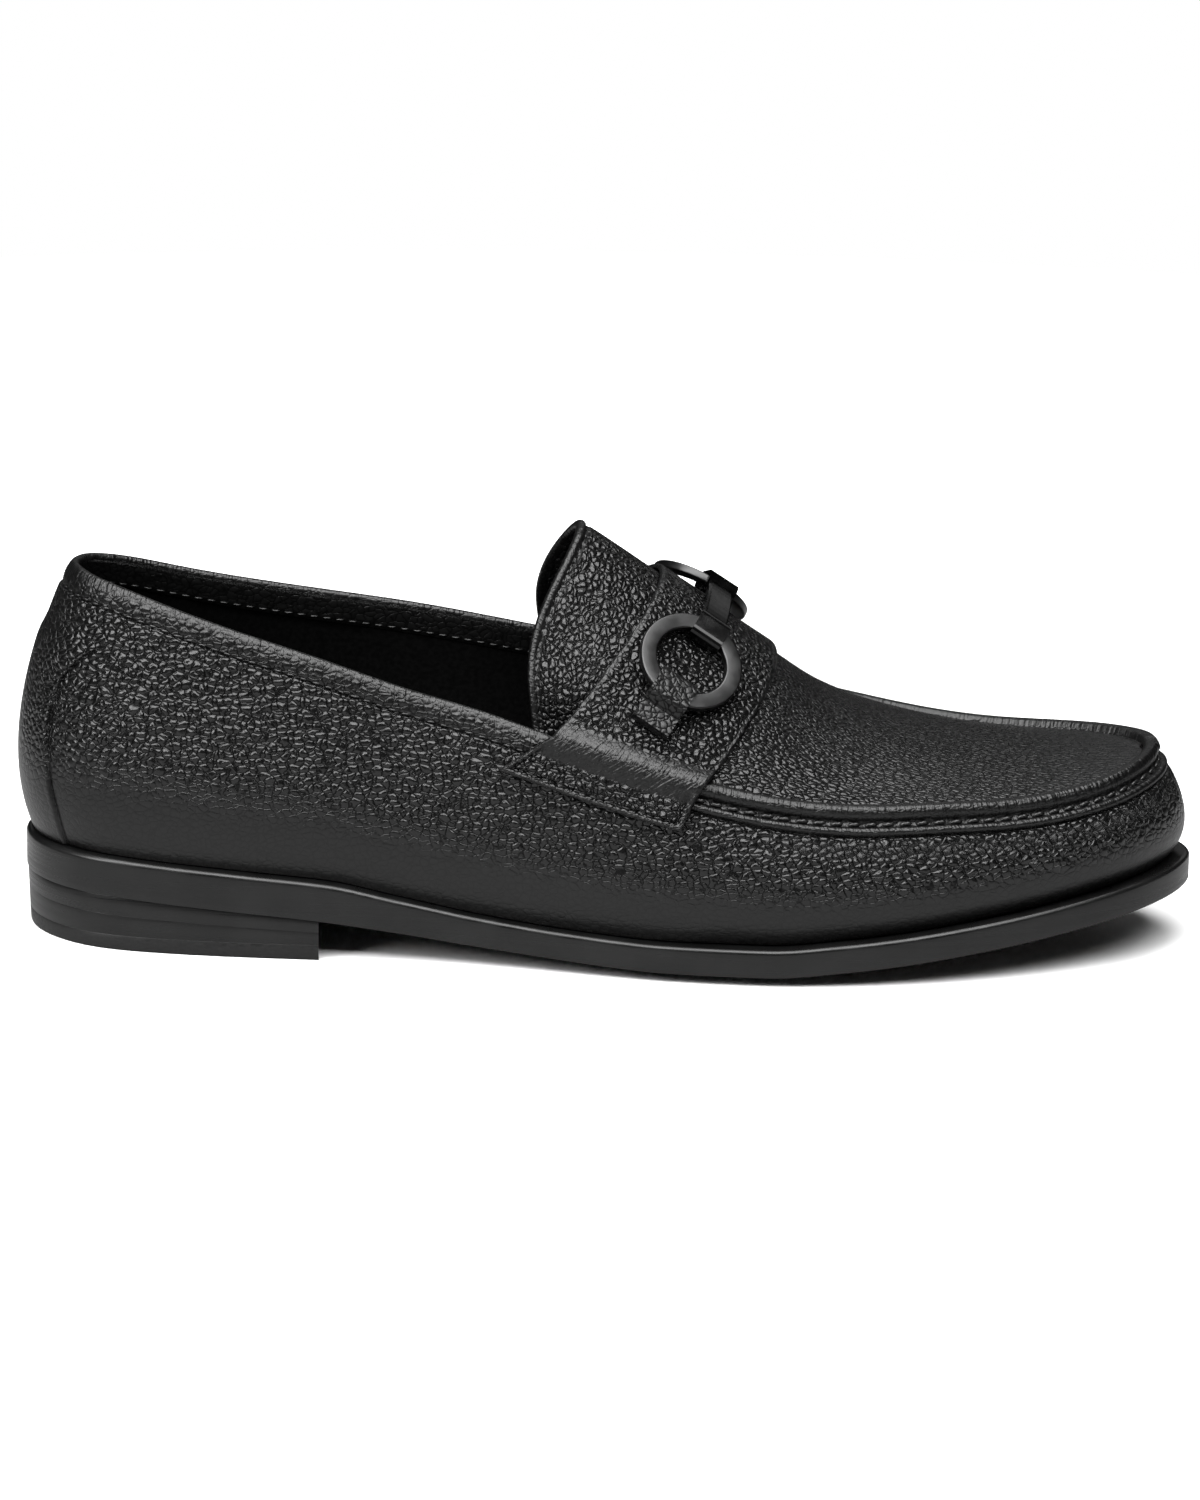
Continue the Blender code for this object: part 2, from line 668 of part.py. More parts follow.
SOLE_ACROSS = (-1.0, -0.80, -0.52, 0.0, 0.52, 0.80, 1.0)


def across_grid(rows, inset, height, hollow=0.0):
    """A grid over the plan of the sole: lines across it, each between both sides of its inset edge."""
    grid = []
    for row in rows:
        left = edge_point(loop_place(-1, row), inset(row))
        right = edge_point(loop_place(1, row), inset(row))
        push = hollow * (row / rows[-1]) ** 6
        line = []
        for share in SOLE_ACROSS:
            x, y = (left + right) / 2 + (right - left) / 2 * share
            x = x - push * (1 - share * share)
            line.append((x, y, height(x, y)))
        grid.append(line)
    return np.array(grid)


def layered_body(name, grids, finish):
    """A closed body whose levels are grids of one layout, from the bottom up."""
    shell = Shell()
    numbers = [shell.grid(grid) for grid in grids]
    shell.cover(numbers[0])
    shell.cover(numbers[-1])
    for low, high in zip(numbers, numbers[1:]):
        for pick in (np.s_[0, :], np.s_[-1, :], np.s_[:, 0], np.s_[:, -1]):
            shell.strip(low[pick], high[pick])
    return mesh_object(name, shell.points, shell.faces, finish, 30.0)


def all_rows():
    """Every row of the section table, with one between each two."""
    return list(np.arange(0, LAST_ROW + SECTION_STEP / 2, SECTION_STEP))


def build_outsole(finish):
    """The sole layer with its heel rand. It's flat under the ball and curls up a little at its sides."""
    def bottom(x, y):
        return under_height(x) + cup(x, y)

    def below_top(amount):
        return lambda x, y: seat_height(x, y) - amount

    levels = (
        (EDGE_EASE, bottom),
        (0.0, lambda x, y: bottom(x, y) + EDGE_EASE),
        (0.0, below_top(SOLE_EDGE_BEVEL)),
        (0.3 * SOLE_EDGE_BEVEL, below_top(0.3 * SOLE_EDGE_BEVEL)),
        (SOLE_EDGE_BEVEL, below_top(0.0)),
    )
    grids = [across_grid(all_rows(), lambda row, inset=inset: inset, height) for inset, height in levels]
    return layered_body("outsole", grids, finish)


def heel_rows():
    """The rows of the section table that the heel covers."""
    last = np.interp(BREAST_ALONG / SOLE_LENGTH, column("along"), list(ROWS))
    return list(np.arange(0, last - 0.2, SECTION_STEP)) + [float(last)]


def build_heel_layer(name, low, high, finish):
    """One layer of the heel between two heights, each a function of the plan with its inset."""
    eased = (
        (low[0] + EDGE_EASE, low[1]),
        (low[0], lambda x, y: low[1](x, y) + EDGE_EASE),
        (high[0], lambda x, y: high[1](x, y) - EDGE_EASE / 2),
        (high[0] + EDGE_EASE / 2, high[1]),
    )
    grids = [
        across_grid(heel_rows(), lambda row, inset=inset: inset, height, BREAST_HOLLOW)
        for inset, height in eased
    ]
    return layered_body(name, grids, finish)


def build_heel(stack_finish, lift_finish):
    """The stacked heel and its top lift."""
    share = (TOP_LIFT + GAP) / HEEL_RISE
    lift_inset = HEEL_INSET + HEEL_TAPER * (1 - share)
    build_heel_layer(
        "heel_stack",
        (lift_inset, lambda x, y: TOP_LIFT + GAP),
        (HEEL_INSET, lambda x, y: under_height(x) - GAP),
        stack_finish,
    )
    build_heel_layer(
        "top_lift",
        (HEEL_INSET + HEEL_TAPER, lambda x, y: 0.0),
        (lift_inset, lambda x, y: TOP_LIFT),
        lift_finish,
    )


def build_insole(finish):
    """The insole, over the foot opening of the upper and clear of its wall."""
    def inset(extra):
        return lambda row: feather_inset(row) + WALL + GAP + extra

    low = 1.6 * GAP
    levels = (
        (inset(0.6 * MM), lambda x, y: seat_height(x, y) + low),
        (inset(0.4 * MM), lambda x, y: seat_height(x, y) + low + INSOLE_THICKNESS / 2),
        (inset(0.9 * MM), lambda x, y: seat_height(x, y) + low + INSOLE_THICKNESS),
    )
    rows = [0.0, 0.5] + list(np.arange(1.0, LAST_ROW, 1.0)) + [LAST_ROW - 0.5, float(LAST_ROW)]
    grids = [across_grid(rows, step_in, height) for step_in, height in levels]
    return layered_body("insole", grids, finish)


def edge_rounding(count, at_edge):
    """For each of count lines, how far its outer face drops: at_edge on the first and last one."""
    drop = np.zeros(count)
    drop[0] = drop[-1] = at_edge
    return drop


def with_edge_lines(shares, narrow):
    """Shares from 0 to 1 with one more close to each end."""
    return [0.0, narrow] + [s for s in shares if narrow < s < 1 - narrow] + [1 - narrow, 1.0]


def tongue_point(row, share):
    """A point of the tongue's plain form. Under the strap it lies close to it, down to the collar."""
    snug = float(smooth_step((row - TONGUE_TOP_ROW) / (STRAP_REAR_ROW - TONGUE_TOP_ROW)))
    return arch_points(row, [math.pi * share], TONGUE_TUCK, TONGUE_DROP, snug)[0]


def build_tongue(finish):
    """The tongue: its sides hang inside the collar and its front end lies under the apron."""
    across = with_edge_lines(np.linspace(0, 1, 17), 0.02)
    along = with_edge_lines(np.linspace(0, 1, 9), 0.02)
    grid = []
    for p in along:
        line = []
        for a in across:
            side = abs(math.cos(math.pi * a)) ** TONGUE_EDGE_POWER
            first = TONGUE_TOP_ROW + (TONGUE_SIDE_ROW - TONGUE_TOP_ROW) * side
            row = first + (TONGUE_END_ROW - first) * p
            line.append(tongue_point(row, a))
        grid.append(line)
    grid = np.array(grid)
    normals = grid_normals(grid, closed=False)
    if normals[3, len(across) // 2][2] < 0:
        normals = -normals
    rows = TONGUE_TOP_ROW + (TONGUE_END_ROW - TONGUE_TOP_ROW) * np.array(along)
    under_apron = smooth_step((rows - TONGUE_DIVE_ROW) / (THROAT_ROW - 0.15 - TONGUE_DIVE_ROW))
    dive = under_apron * (WALL + 2 * GAP) + GAP
    at_ends = edge_rounding(len(along), LEATHER_EDGE)[:, None]
    lower = np.maximum(at_ends, edge_rounding(len(across), LEATHER_EDGE))
    outer = grid - normals * (dive[:, None] + lower)[..., None]
    inner = grid - normals * (dive[:, None] + TONGUE_THICKNESS - 0.4 * lower)[..., None]
    shell = Shell()
    shell.slab(outer, inner)
    return mesh_object("tongue", shell.points, shell.faces, finish, 50.0)


def strap_row(share, down):
    """The row that the strap follows at a share of its width, and a share of the way down its tab."""
    on_top = STRAP_REAR_ROW + (STRAP_FRONT_ROW - STRAP_REAR_ROW) * share
    on_tab = TAB_REAR_ROW + (TAB_FRONT_ROW - TAB_REAR_ROW) * share
    return on_top + (on_tab - on_top) * down


TAB_DISTANCES = (
    0.0, 0.8 * MM, 1.8 * MM, 2.8 * MM, 3.8 * MM, 5.2 * MM, 7.6 * MM, STRAP_TAB - LEATHER_EDGE, STRAP_TAB,
)
ROLL_DISTANCES = (0.8 * MM, 1.8 * MM, 2.8 * MM, 3.8 * MM, 5.2 * MM)
ARCH_POINTS = 15


def tab_lift(distance):
    """How far a tab stands off the wall, at a distance below the top line."""
    step = QUARTER_STEP * float(smooth_step(distance / COLLAR_BAND))
    return bump(distance, STRAP_ROLL_HALF, STRAP_ROLL) + step


def strap_line(share):
    """Points across the shoe that the strap follows, from one tab to the other, and its lift at each."""
    row = strap_row(share, 0.0)
    curve, length = instep_curve(row)
    points, lifts = [], []
    for distance in reversed(TAB_DISTANCES[1:]):
        here = strap_row(share, distance / STRAP_TAB)
        points.append(wall_curve(loop_place(-1, here))[0](distance))
        lifts.append(tab_lift(distance))
    middle = np.linspace(ROLL_DISTANCES[-1], length - ROLL_DISTANCES[-1], ARCH_POINTS + 2)[1:-1]
    far_roll = [length - d for d in reversed(ROLL_DISTANCES)]
    over = [0.0] + list(ROLL_DISTANCES) + list(middle) + far_roll + [length]
    for distance in over:
        points.append(curve(distance))
        lifts.append(bump(min(distance, length - distance), STRAP_ROLL_HALF, STRAP_ROLL))
    for distance in TAB_DISTANCES[1:]:
        here = strap_row(share, distance / STRAP_TAB)
        points.append(wall_curve(loop_place(1, here))[0](distance))
        lifts.append(tab_lift(distance))
    return points, lifts


def strap_grids():
    """The strap's inner and outer face as grids: first index from its rear to its front edge."""
    shares = with_edge_lines(np.linspace(0, 1, 7), 0.03)
    lines = [strap_line(share) for share in shares]
    base = np.array([points for points, _ in lines])
    lift = np.array([lifts for _, lifts in lines]) + GAP + 0.1 * MM
    normals = grid_normals(base, closed=False)
    if normals[4, base.shape[1] // 2][2] < 0:
        normals = -normals
    at_sides = edge_rounding(base.shape[0], LEATHER_EDGE)[:, None]
    lower = np.maximum(at_sides, edge_rounding(base.shape[1], LEATHER_EDGE))
    inner = base + normals * lift[..., None]
    outer = base + normals * (lift + STRAP_THICKNESS - lower)[..., None]
    return inner, outer


def build_strap(finish):
    """The saddle strap over the instep, with a tab down each wall."""
    inner, outer = strap_grids()
    shell = Shell()
    shell.slab(outer, inner)
    return mesh_object("saddle_strap", shell.points, shell.faces, finish, 50.0)


class StrapFace:
    """The outer face of the strap on one side, by share of its width and distance from its crown."""

    def __init__(self, side):
        _, outer = strap_grids()
        shares = np.array(with_edge_lines(np.linspace(0, 1, 7), 0.03))
        middle = outer.shape[1] // 2
        half = outer[:, middle:] if side > 0 else outer[:, middle::-1]
        self.shares = shares[1:-1]
        self.lines = [evenly(line) for line in half[1:-1]]

    def at(self, share, distance):
        share = min(max(share, self.shares[0]), self.shares[-1])
        k = min(int(np.searchsorted(self.shares, share, side="right")) - 1, len(self.shares) - 2)
        part = (share - self.shares[k]) / (self.shares[k + 1] - self.shares[k])
        return self.lines[k][0](distance) * (1 - part) + self.lines[k + 1][0](distance) * part

    def frame(self, share, distance, reach):
        """Origin, directions to the crown and to the toe, and outward normal of the face at a place."""
        up = unit(self.at(share, distance - reach) - self.at(share, distance + reach))
        along = self.at(share + 0.2, distance) - self.at(share - 0.2, distance)
        normal = unit(np.cross(along, up))
        if normal[2] < 0:
            normal = -normal
        forward = unit(np.cross(normal, up))
        if forward[0] < 0:
            forward = -forward
        return self.at(share, distance), up, forward, normal

    def clearance(self, points):
        """The least height of some points above the face, measured along the face's own normals."""
        down = np.linspace(0, self.lines[0][1], 65)
        grid = np.array([[self.at(share, d) for d in down] for share in np.linspace(0.03, 0.97, 25)])
        normals = grid_normals(grid, closed=False)
        if normals[12, 5][2] < 0:
            normals = -normals
        flat, facing = grid.reshape(-1, 3), normals.reshape(-1, 3)
        least = 1.0
        for p in points:
            nearest = int(np.argmin(((flat - p) ** 2).sum(1)))
            least = min(least, float((p - flat[nearest]) @ facing[nearest]))
        return least


BIT_SHARE = (BIT_ROW - STRAP_REAR_ROW) / (STRAP_FRONT_ROW - STRAP_REAR_ROW)


def bit_frame(side):
    """The middle of one ring and its axes: to the crown, to the toe and outwards."""
    face = StrapFace(side)
    origin, up, forward, normal = face.frame(BIT_SHARE, RING_FROM_CROWN, 8 * MM)
    angle = np.linspace(0, 2 * math.pi, 48, endpoint=False)
    around = np.cos(angle)[:, None] * up + np.sin(angle)[:, None] * forward
    low = origin - normal * RING_THICKNESS / 2
    rims = [low + around * (RING_RADIUS + s * RING_BAND / 2) for s in (-1, 1)]
    lift = GAP - face.clearance(np.concatenate(rims))
    depth = RING_THICKNESS / 2 + GAP + CLASP_WALL
    clasp = [
        origin + up * (RING_RADIUS + a * 3.4 * MM) + forward * b * CLASP_LENGTH / 2 - normal * depth
        for a in (-1, 1) for b in (-1, 0, 1)
    ]
    lift = max(lift, GAP - face.clearance(clasp))
    keeper_depth = RING_THICKNESS / 2 + GAP + KEEPER_LEATHER
    keeper = [
        origin - up * (RING_RADIUS + a * MM) + forward * b * KEEPER_WIDTH / 2 - normal * keeper_depth
        for a in (-3.5, 0.0, 3.5) for b in (-1, 0, 1)
    ]
    lift = max(lift, GAP - face.clearance(keeper))
    return origin + normal * lift, up, forward, normal


def rounded_rectangle(half_width, half_height, corner, steps=3):
    """The outline of a rectangle with rounded corners, as (across, up) pairs."""
    outline = []
    corners = ((1, 1, 0), (-1, 1, 90), (-1, -1, 180), (1, -1, 270))
    for sx, sy, start in corners:
        for k in range(steps + 1):
            angle = math.radians(start + 90 * k / steps)
            x = sx * (half_width - corner) + corner * math.cos(angle)
            y = sy * (half_height - corner) + corner * math.sin(angle)
            outline.append((x, y))
    return outline


def build_ring(name, frame, finish):
    """A plain flat ring."""
    origin, up, forward, normal = frame
    outline = rounded_rectangle(RING_BAND / 2, RING_THICKNESS / 2, RING_BEVEL, 1)
    count = 36
    grid = []
    for k in range(count):
        angle = 2 * math.pi * k / count
        out = math.cos(angle) * up + math.sin(angle) * forward
        grid.append([origin + out * (RING_RADIUS + x) + normal * z for x, z in outline])
    shell = Shell()
    numbers = shell.grid(grid)
    numbers = np.concatenate([numbers, numbers[:, :1]], 1)
    shell.cover(numbers, closed=True)
    return mesh_object(name, shell.points, shell.faces, finish, 30.0)


def prism(name, outline, place, half_length, finish):
    """A closed bar: an outline of (across, up) pairs, drawn out to both sides along the last axis."""
    origin, across, up, along = place
    shell = Shell()
    ends = [[origin + across * x + up * z + along * s * half_length for x, z in outline] for s in (-1, 1)]
    numbers = shell.grid(ends)
    ring = np.concatenate([numbers, numbers[:, :1]], 1)
    shell.cover(ring)
    shell.faces.append(tuple(numbers[0]))
    shell.faces.append(tuple(numbers[1][::-1]))
    return mesh_object(name, shell.points, shell.faces, finish, 30.0)


def combine(target, other, operation):
    """Joins another object to the target, or cuts it away, and removes it."""
    step = target.modifiers.new(operation.lower(), "BOOLEAN")
    step.operation = operation
    step.solver = "EXACT"
    step.object = other
    graph = bpy.context.evaluated_depsgraph_get()
    made = bpy.data.meshes.new_from_object(target.evaluated_get(graph))
    target.modifiers.remove(step)
    target.data = made
    bpy.data.objects.remove(other)


def band_span(width):
    """Half width and middle of the hole that a straight loop of a width needs for the curved ring."""
    near = math.sqrt((RING_RADIUS - RING_BAND / 2) ** 2 - (width / 2) ** 2) - GAP
    far = RING_RADIUS + RING_BAND / 2 + GAP
    return (far - near) / 2, (far + near) / 2


def build_bar(frames, finish):
    """The bar over the crown of the strap, with a clasp round each ring."""
    half_x, from_middle = band_span(CLASP_LENGTH)
    half_z = RING_THICKNESS / 2 + GAP
    starts = [origin + up * from_middle for origin, up, forward, normal in frames]
    crown = StrapFace(1).at(BIT_SHARE, 0.0)
    wanted = crown[2] + GAP + BAR_THICKNESS / 2 + 0.5 * MM
    rise = wanted - (starts[0][2] + starts[1][2]) / 2
    slope = frames[0][1] + frames[1][1]
    reach = 8 * rise / slope[2]
    count = 17
    path = []
    for t in np.linspace(0, 1, count):
        h1, h2 = (1 + 2 * t) * (1 - t) ** 2, t * (1 - t) ** 2
        h3, h4 = t * t * (3 - 2 * t), t * t * (t - 1)
        ends = h1 * starts[0] + h3 * starts[1]
        path.append(ends + h2 * reach * frames[0][1] - h4 * reach * frames[1][1])
    path = np.array(path)
    tangent = unit(np.gradient(path, axis=0))
    forward = unit(frames[0][2] + frames[1][2])
    outline = rounded_rectangle(BAR_WIDTH / 2, BAR_THICKNESS / 2, 0.6 * MM, 2)
    grid = []
    for point, heading in zip(path, tangent):
        normal = unit(np.cross(heading, forward))
        if normal[2] < 0:
            normal = -normal
        wide = unit(np.cross(normal, heading))
        grid.append([point + wide * x + normal * z for x, z in outline])
    shell = Shell()
    numbers = shell.grid(grid)
    ring = np.concatenate([numbers, numbers[:, :1]], 1)
    shell.cover(ring)
    shell.faces.append(tuple(numbers[0]))
    shell.faces.append(tuple(numbers[-1][::-1]))
    bar = mesh_object("bit_bar", shell.points, shell.faces, finish, 30.0)
    for (origin, up, ahead, normal), start in zip(frames, starts):
        place = (start, up, normal, ahead)
        body = rounded_rectangle(half_x + CLASP_WALL, half_z + CLASP_WALL, 1.9 * MM, 4)
        combine(bar, prism("clasp", body, place, CLASP_LENGTH / 2, finish), "UNION")
    for (origin, up, ahead, normal), start in zip(frames, starts):
        place = (start, up, normal, ahead)
        hole = rounded_rectangle(half_x, half_z, 0.4 * MM, 1)
        combine(bar, prism("hole", hole, place, CLASP_LENGTH, finish), "DIFFERENCE")
    bar.data.shade_smooth()
    bar.data.set_sharp_from_angle(angle=math.radians(30))
    return bar


def build_keeper(name, frame, side, finish):
    """A folded leather loop: it goes round the ring and its tail lies on the strap, down to the roll."""
    origin, up, forward, normal = frame
    face = StrapFace(side)
    half_x, from_middle = band_span(KEEPER_WIDTH)
    inner_x = half_x + 0.5 * MM
    inner_z = RING_THICKNESS / 2 + GAP
    middle = origin - up * from_middle
    hole, body = [], []
    steps = 10
    for k in range(steps + 1):
        angle = math.radians(-90 + 180 * k / steps)
        hole.append((inner_x + (inner_z - 0.2 * MM) * (math.cos(angle) - 1), inner_z * math.sin(angle)))
    for k in range(steps + 1):
        angle = math.radians(90 + 180 * k / steps)
        hole.append((-inner_x + (inner_z - 0.2 * MM) * (math.cos(angle) + 1), inner_z * math.sin(angle)))
    outer_x, outer_z = inner_x + KEEPER_LEATHER, inner_z + KEEPER_LEATHER
    for k in range(steps + 1):
        angle = math.radians(-90 + 180 * k / steps)
        body.append((outer_x + (outer_z - 0.2 * MM) * (math.cos(angle) - 1), outer_z * math.sin(angle)))
    for k in range(5):
        angle = math.radians(90 + 15 * k)
        body.append((-outer_x + (outer_z - 0.2 * MM) * (math.cos(angle) + 1), outer_z * math.sin(angle)))
    far = RING_FROM_CROWN + from_middle + outer_x + 1.0 * MM
    tail = []
    for k in range(0, 4):
        distance = far + KEEPER_TAIL * k / 3
        points = [
            face.at(BIT_SHARE + part * KEEPER_HALF_SHARE, distance) - middle
            for part in (-1, -0.5, 0, 0.5, 1)
        ]
        tail.append((points[2] @ up, max(point @ normal for point in points)))
    tail_top = [(x, z + GAP + 2 * KEEPER_LEATHER) for x, z in tail]
    tail_low = [(x, z + GAP) for x, z in reversed(tail)]
    body = body + tail_top + tail_low
    place = (middle, up, normal, forward)
    made = prism(name, body, place, KEEPER_WIDTH / 2, finish)
    combine(made, prism("hole", hole, place, KEEPER_WIDTH, finish), "DIFFERENCE")
    made.data.shade_smooth()
    made.data.set_sharp_from_angle(angle=math.radians(40))
    return made


def move_to_origin():
    """Moves the whole shoe so that the origin lies under the middle of its box, on the floor."""
    pieces = [piece for piece in bpy.data.objects if piece.type == "MESH"]
    corners = np.concatenate([[v.co[:] for v in piece.data.vertices] for piece in pieces])
    low, high = corners.min(0), corners.max(0)
    shift = Vector((-(low[0] + high[0]) / 2, -(low[1] + high[1]) / 2, -low[2]))
    for piece in pieces:
        piece.data.transform(Matrix.Translation(shift))


def main():
    for old in list(bpy.data.objects):
        bpy.data.objects.remove(old)
    leather = material("black_leather", (0.02, 0.02, 0.021), 0.45)
    sole_edge = material("black_sole", (0.018, 0.018, 0.018), 0.4)
    lift = material("black_lift", (0.015, 0.015, 0.015), 0.6)
    sock = material("black_sock", (0.02, 0.02, 0.02), 0.6)
    metal = material("black_metal", (0.03, 0.03, 0.032), 0.35, 1.0)
    build_outsole(sole_edge)
    build_heel(sole_edge, lift)
    build_insole(sock)
    build_upper(leather)
    build_tongue(leather)
    build_strap(leather)
    frames = [bit_frame(-1), bit_frame(1)]
    build_ring("bit_ring_outer", frames[0], metal)
    build_ring("bit_ring_inner", frames[1], metal)
    build_bar(frames, metal)
    build_keeper("keeper_outer", frames[0], -1, leather)
    build_keeper("keeper_inner", frames[1], 1, leather)
    move_to_origin()


main()
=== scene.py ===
"""The bit loafer dressed for its picture: leather, thread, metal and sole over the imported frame.

Units are metres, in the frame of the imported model. The surfaces are first made in the working frame of the
sections, where X = 0 is the back of the sole and Y = 0 its middle at the heel, and then moved as one.
"""

import math

import bmesh
import bpy
import numpy as np
from mathutils import Matrix, Vector
from mathutils.kdtree import KDTree


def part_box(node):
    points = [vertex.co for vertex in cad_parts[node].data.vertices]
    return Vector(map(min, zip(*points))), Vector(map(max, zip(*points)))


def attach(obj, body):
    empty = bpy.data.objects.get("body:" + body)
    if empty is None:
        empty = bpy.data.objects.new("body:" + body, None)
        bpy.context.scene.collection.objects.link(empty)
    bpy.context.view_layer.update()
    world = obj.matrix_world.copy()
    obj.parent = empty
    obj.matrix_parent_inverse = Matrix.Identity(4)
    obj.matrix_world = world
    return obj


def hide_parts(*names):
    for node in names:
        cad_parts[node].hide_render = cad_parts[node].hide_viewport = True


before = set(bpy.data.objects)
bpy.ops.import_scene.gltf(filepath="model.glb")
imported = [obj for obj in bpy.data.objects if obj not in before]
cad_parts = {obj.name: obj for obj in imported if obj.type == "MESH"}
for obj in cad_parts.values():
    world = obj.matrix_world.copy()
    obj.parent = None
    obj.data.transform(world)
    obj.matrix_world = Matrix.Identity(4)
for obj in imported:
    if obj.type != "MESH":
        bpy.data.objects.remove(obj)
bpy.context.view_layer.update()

MM = 0.001

# Sole and heel
SOLE_LENGTH = 302 * MM
BALL_WIDTH = 103 * MM
SOLE_THICKNESS = 7.3 * MM
HEEL_RAND = 2.7 * MM
HEEL_RISE = 15.2 * MM
TOE_SPRING = 16.1 * MM
SOLE_CUP = 2.5 * MM
TOP_LIFT = 4.0 * MM
BREAST_ALONG = 78.6 * MM
BREAST_HOLLOW = 3.0 * MM
HEEL_INSET = 0.3 * MM
HEEL_TAPER = 0.6 * MM

# Upper
FEATHER_INSET_HEEL = 3.0 * MM
FEATHER_INSET_TOE = 4.8 * MM
BACK_HEIGHT = 70.5 * MM
TOE_HEIGHT = 28.2 * MM
INSTEP_RISE = 36.0 * MM
INSTEP_LEAN = 27.0 * MM
BELLY = 8.0 * MM
WALL = 2.4 * MM
COLLAR_BAND = 7.2 * MM
QUARTER_STEP = 0.5 * MM
BACK_STEP = 0.8 * MM

# Tongue and strap
TONGUE_TUCK = 4.6 * MM
TONGUE_DROP = 7.0 * MM
TONGUE_EDGE_POWER = 8.0
TONGUE_SNUG_FROM = 0.22
TONGUE_SNUG_OVER = 0.30
TONGUE_UNDER_EASE = 0.2 * MM
TONGUE_SIDE_DROP = 0.5 * MM
PIPING_ENDS = 2.3 * MM
PIPING_BORDER_ENDS = 3.6 * MM
STRAP_THICKNESS = 1.5 * MM
STRAP_WIDTH = 38 * MM
STRAP_TAB = 13.5 * MM
STRAP_ROLL = 2.7 * MM
STRAP_ROLL_HALF = 6.0 * MM

# Rings of the bit
RING_RADIUS = 11.5 * MM
RING_BAND = 4.2 * MM
RING_THICKNESS = 2.2 * MM
RING_EDGE = 0.42 * MM
RING_EDGE_STEPS = 4
RING_TURNS = 120

# Clearance between pieces that touch on the real shoe
GAP = 0.3 * MM

# One row for each section, from the middle of the heel to the tip of the toe.
# Columns: place of the sole edge along the sole, its reach to the lateral and to the medial side;
# place of the top line along the sole, its reach to both sides; how far the height of the top line
# follows the toe height and not the back height; its height on both sides; fullness of the wall low
# down and high up. Places are shares of SOLE_LENGTH, reaches of half BALL_WIDTH, heights of the local
# height, fullness of BELLY.
SECTION_COLUMNS = (
    "along", "lateral", "medial", "top_along", "top_lateral", "top_medial",
    "toe_part", "lateral_height", "medial_height", "belly_low", "belly_high",
)
SECTIONS = (
    (0.000, 0.000, 0.000, 0.041, 0.000, 0.000, 0.00, 0.999, 0.999, 1.08, 1.30),
    (0.010, 0.243, 0.243, 0.046, 0.155, 0.155, 0.00, 1.005, 0.992, 1.06, 1.18),
    (0.035, 0.437, 0.427, 0.063, 0.291, 0.282, 0.00, 0.991, 0.976, 1.00, 1.00),
    (0.073, 0.575, 0.559, 0.093, 0.388, 0.375, 0.00, 0.964, 0.949, 0.94, 0.88),
    (0.126, 0.645, 0.621, 0.139, 0.466, 0.443, 0.00, 0.918, 0.915, 0.88, 0.75),
    (0.192, 0.680, 0.641, 0.199, 0.524, 0.495, 0.00, 0.861, 0.887, 0.81, 0.63),
    (0.265, 0.695, 0.627, 0.265, 0.563, 0.534, 0.05, 0.830, 0.896, 0.75, 0.56),
    (0.338, 0.707, 0.602, 0.331, 0.592, 0.563, 0.15, 0.856, 0.977, 0.69, 0.56),
    (0.411, 0.757, 0.606, 0.394, 0.641, 0.592, 0.30, 0.933, 1.087, 0.69, 0.63),
    (0.483, 0.841, 0.680, 0.457, 0.718, 0.641, 0.45, 0.978, 1.179, 0.75, 0.69),
    (0.556, 0.920, 0.825, 0.520, 0.786, 0.713, 0.60, 1.005, 1.248, 0.81, 0.81),
    (0.629, 0.957, 0.961, 0.583, 0.816, 0.783, 0.75, 1.026, 1.299, 0.88, 0.94),
    (0.695, 0.948, 1.033, 0.646, 0.816, 0.835, 0.87, 1.026, 1.309, 0.88, 0.94),
    (0.758, 0.901, 1.041, 0.709, 0.786, 0.854, 0.95, 1.016, 1.248, 0.88, 0.94),
    (0.818, 0.814, 0.979, 0.768, 0.728, 0.835, 1.00, 1.011, 1.145, 0.88, 0.94),
    (0.871, 0.699, 0.874, 0.821, 0.650, 0.767, 1.00, 0.932, 1.028, 0.88, 0.97),
    (0.917, 0.561, 0.738, 0.866, 0.553, 0.670, 1.00, 0.883, 0.979, 0.85, 1.00),
    (0.955, 0.398, 0.573, 0.907, 0.427, 0.544, 1.00, 0.883, 0.968, 0.81, 1.04),
    (0.983, 0.194, 0.379, 0.938, 0.272, 0.398, 1.00, 0.925, 0.975, 0.81, 1.06),
    (0.996, 0.029, 0.233, 0.958, 0.087, 0.233, 1.00, 0.975, 0.993, 0.81, 1.06),
    (1.000, -0.097, 0.097, 0.963, -0.078, 0.078, 1.00, 1.000, 1.000, 0.81, 1.06),
)
LAST_ROW = len(SECTIONS) - 1

# The crown of the instep over the same rows, from the row named first: how far it lies in front of the
# top line, as a share of INSTEP_LEAN, and above it, as a share of INSTEP_RISE, and the power that shapes
# the arch, 1 for an ellipse and 2 for a parabola.
CROWN_FIRST_ROW = 7
CROWN = (
    (1.07, 1.148, 1.45), (1.00, 0.983, 1.45), (0.93, 0.787, 1.50), (0.78, 0.630, 1.58), (0.63, 0.492, 1.66),
    (0.48, 0.320, 1.74), (0.35, 0.216, 1.80), (0.26, 0.162, 1.80), (0.185, 0.128, 1.80), (0.13, 0.099, 1.80),
    (0.074, 0.062, 1.80), (0.03, 0.031, 1.80), (0.007, 0.009, 1.80), (0.0, 0.0, 1.80),
)

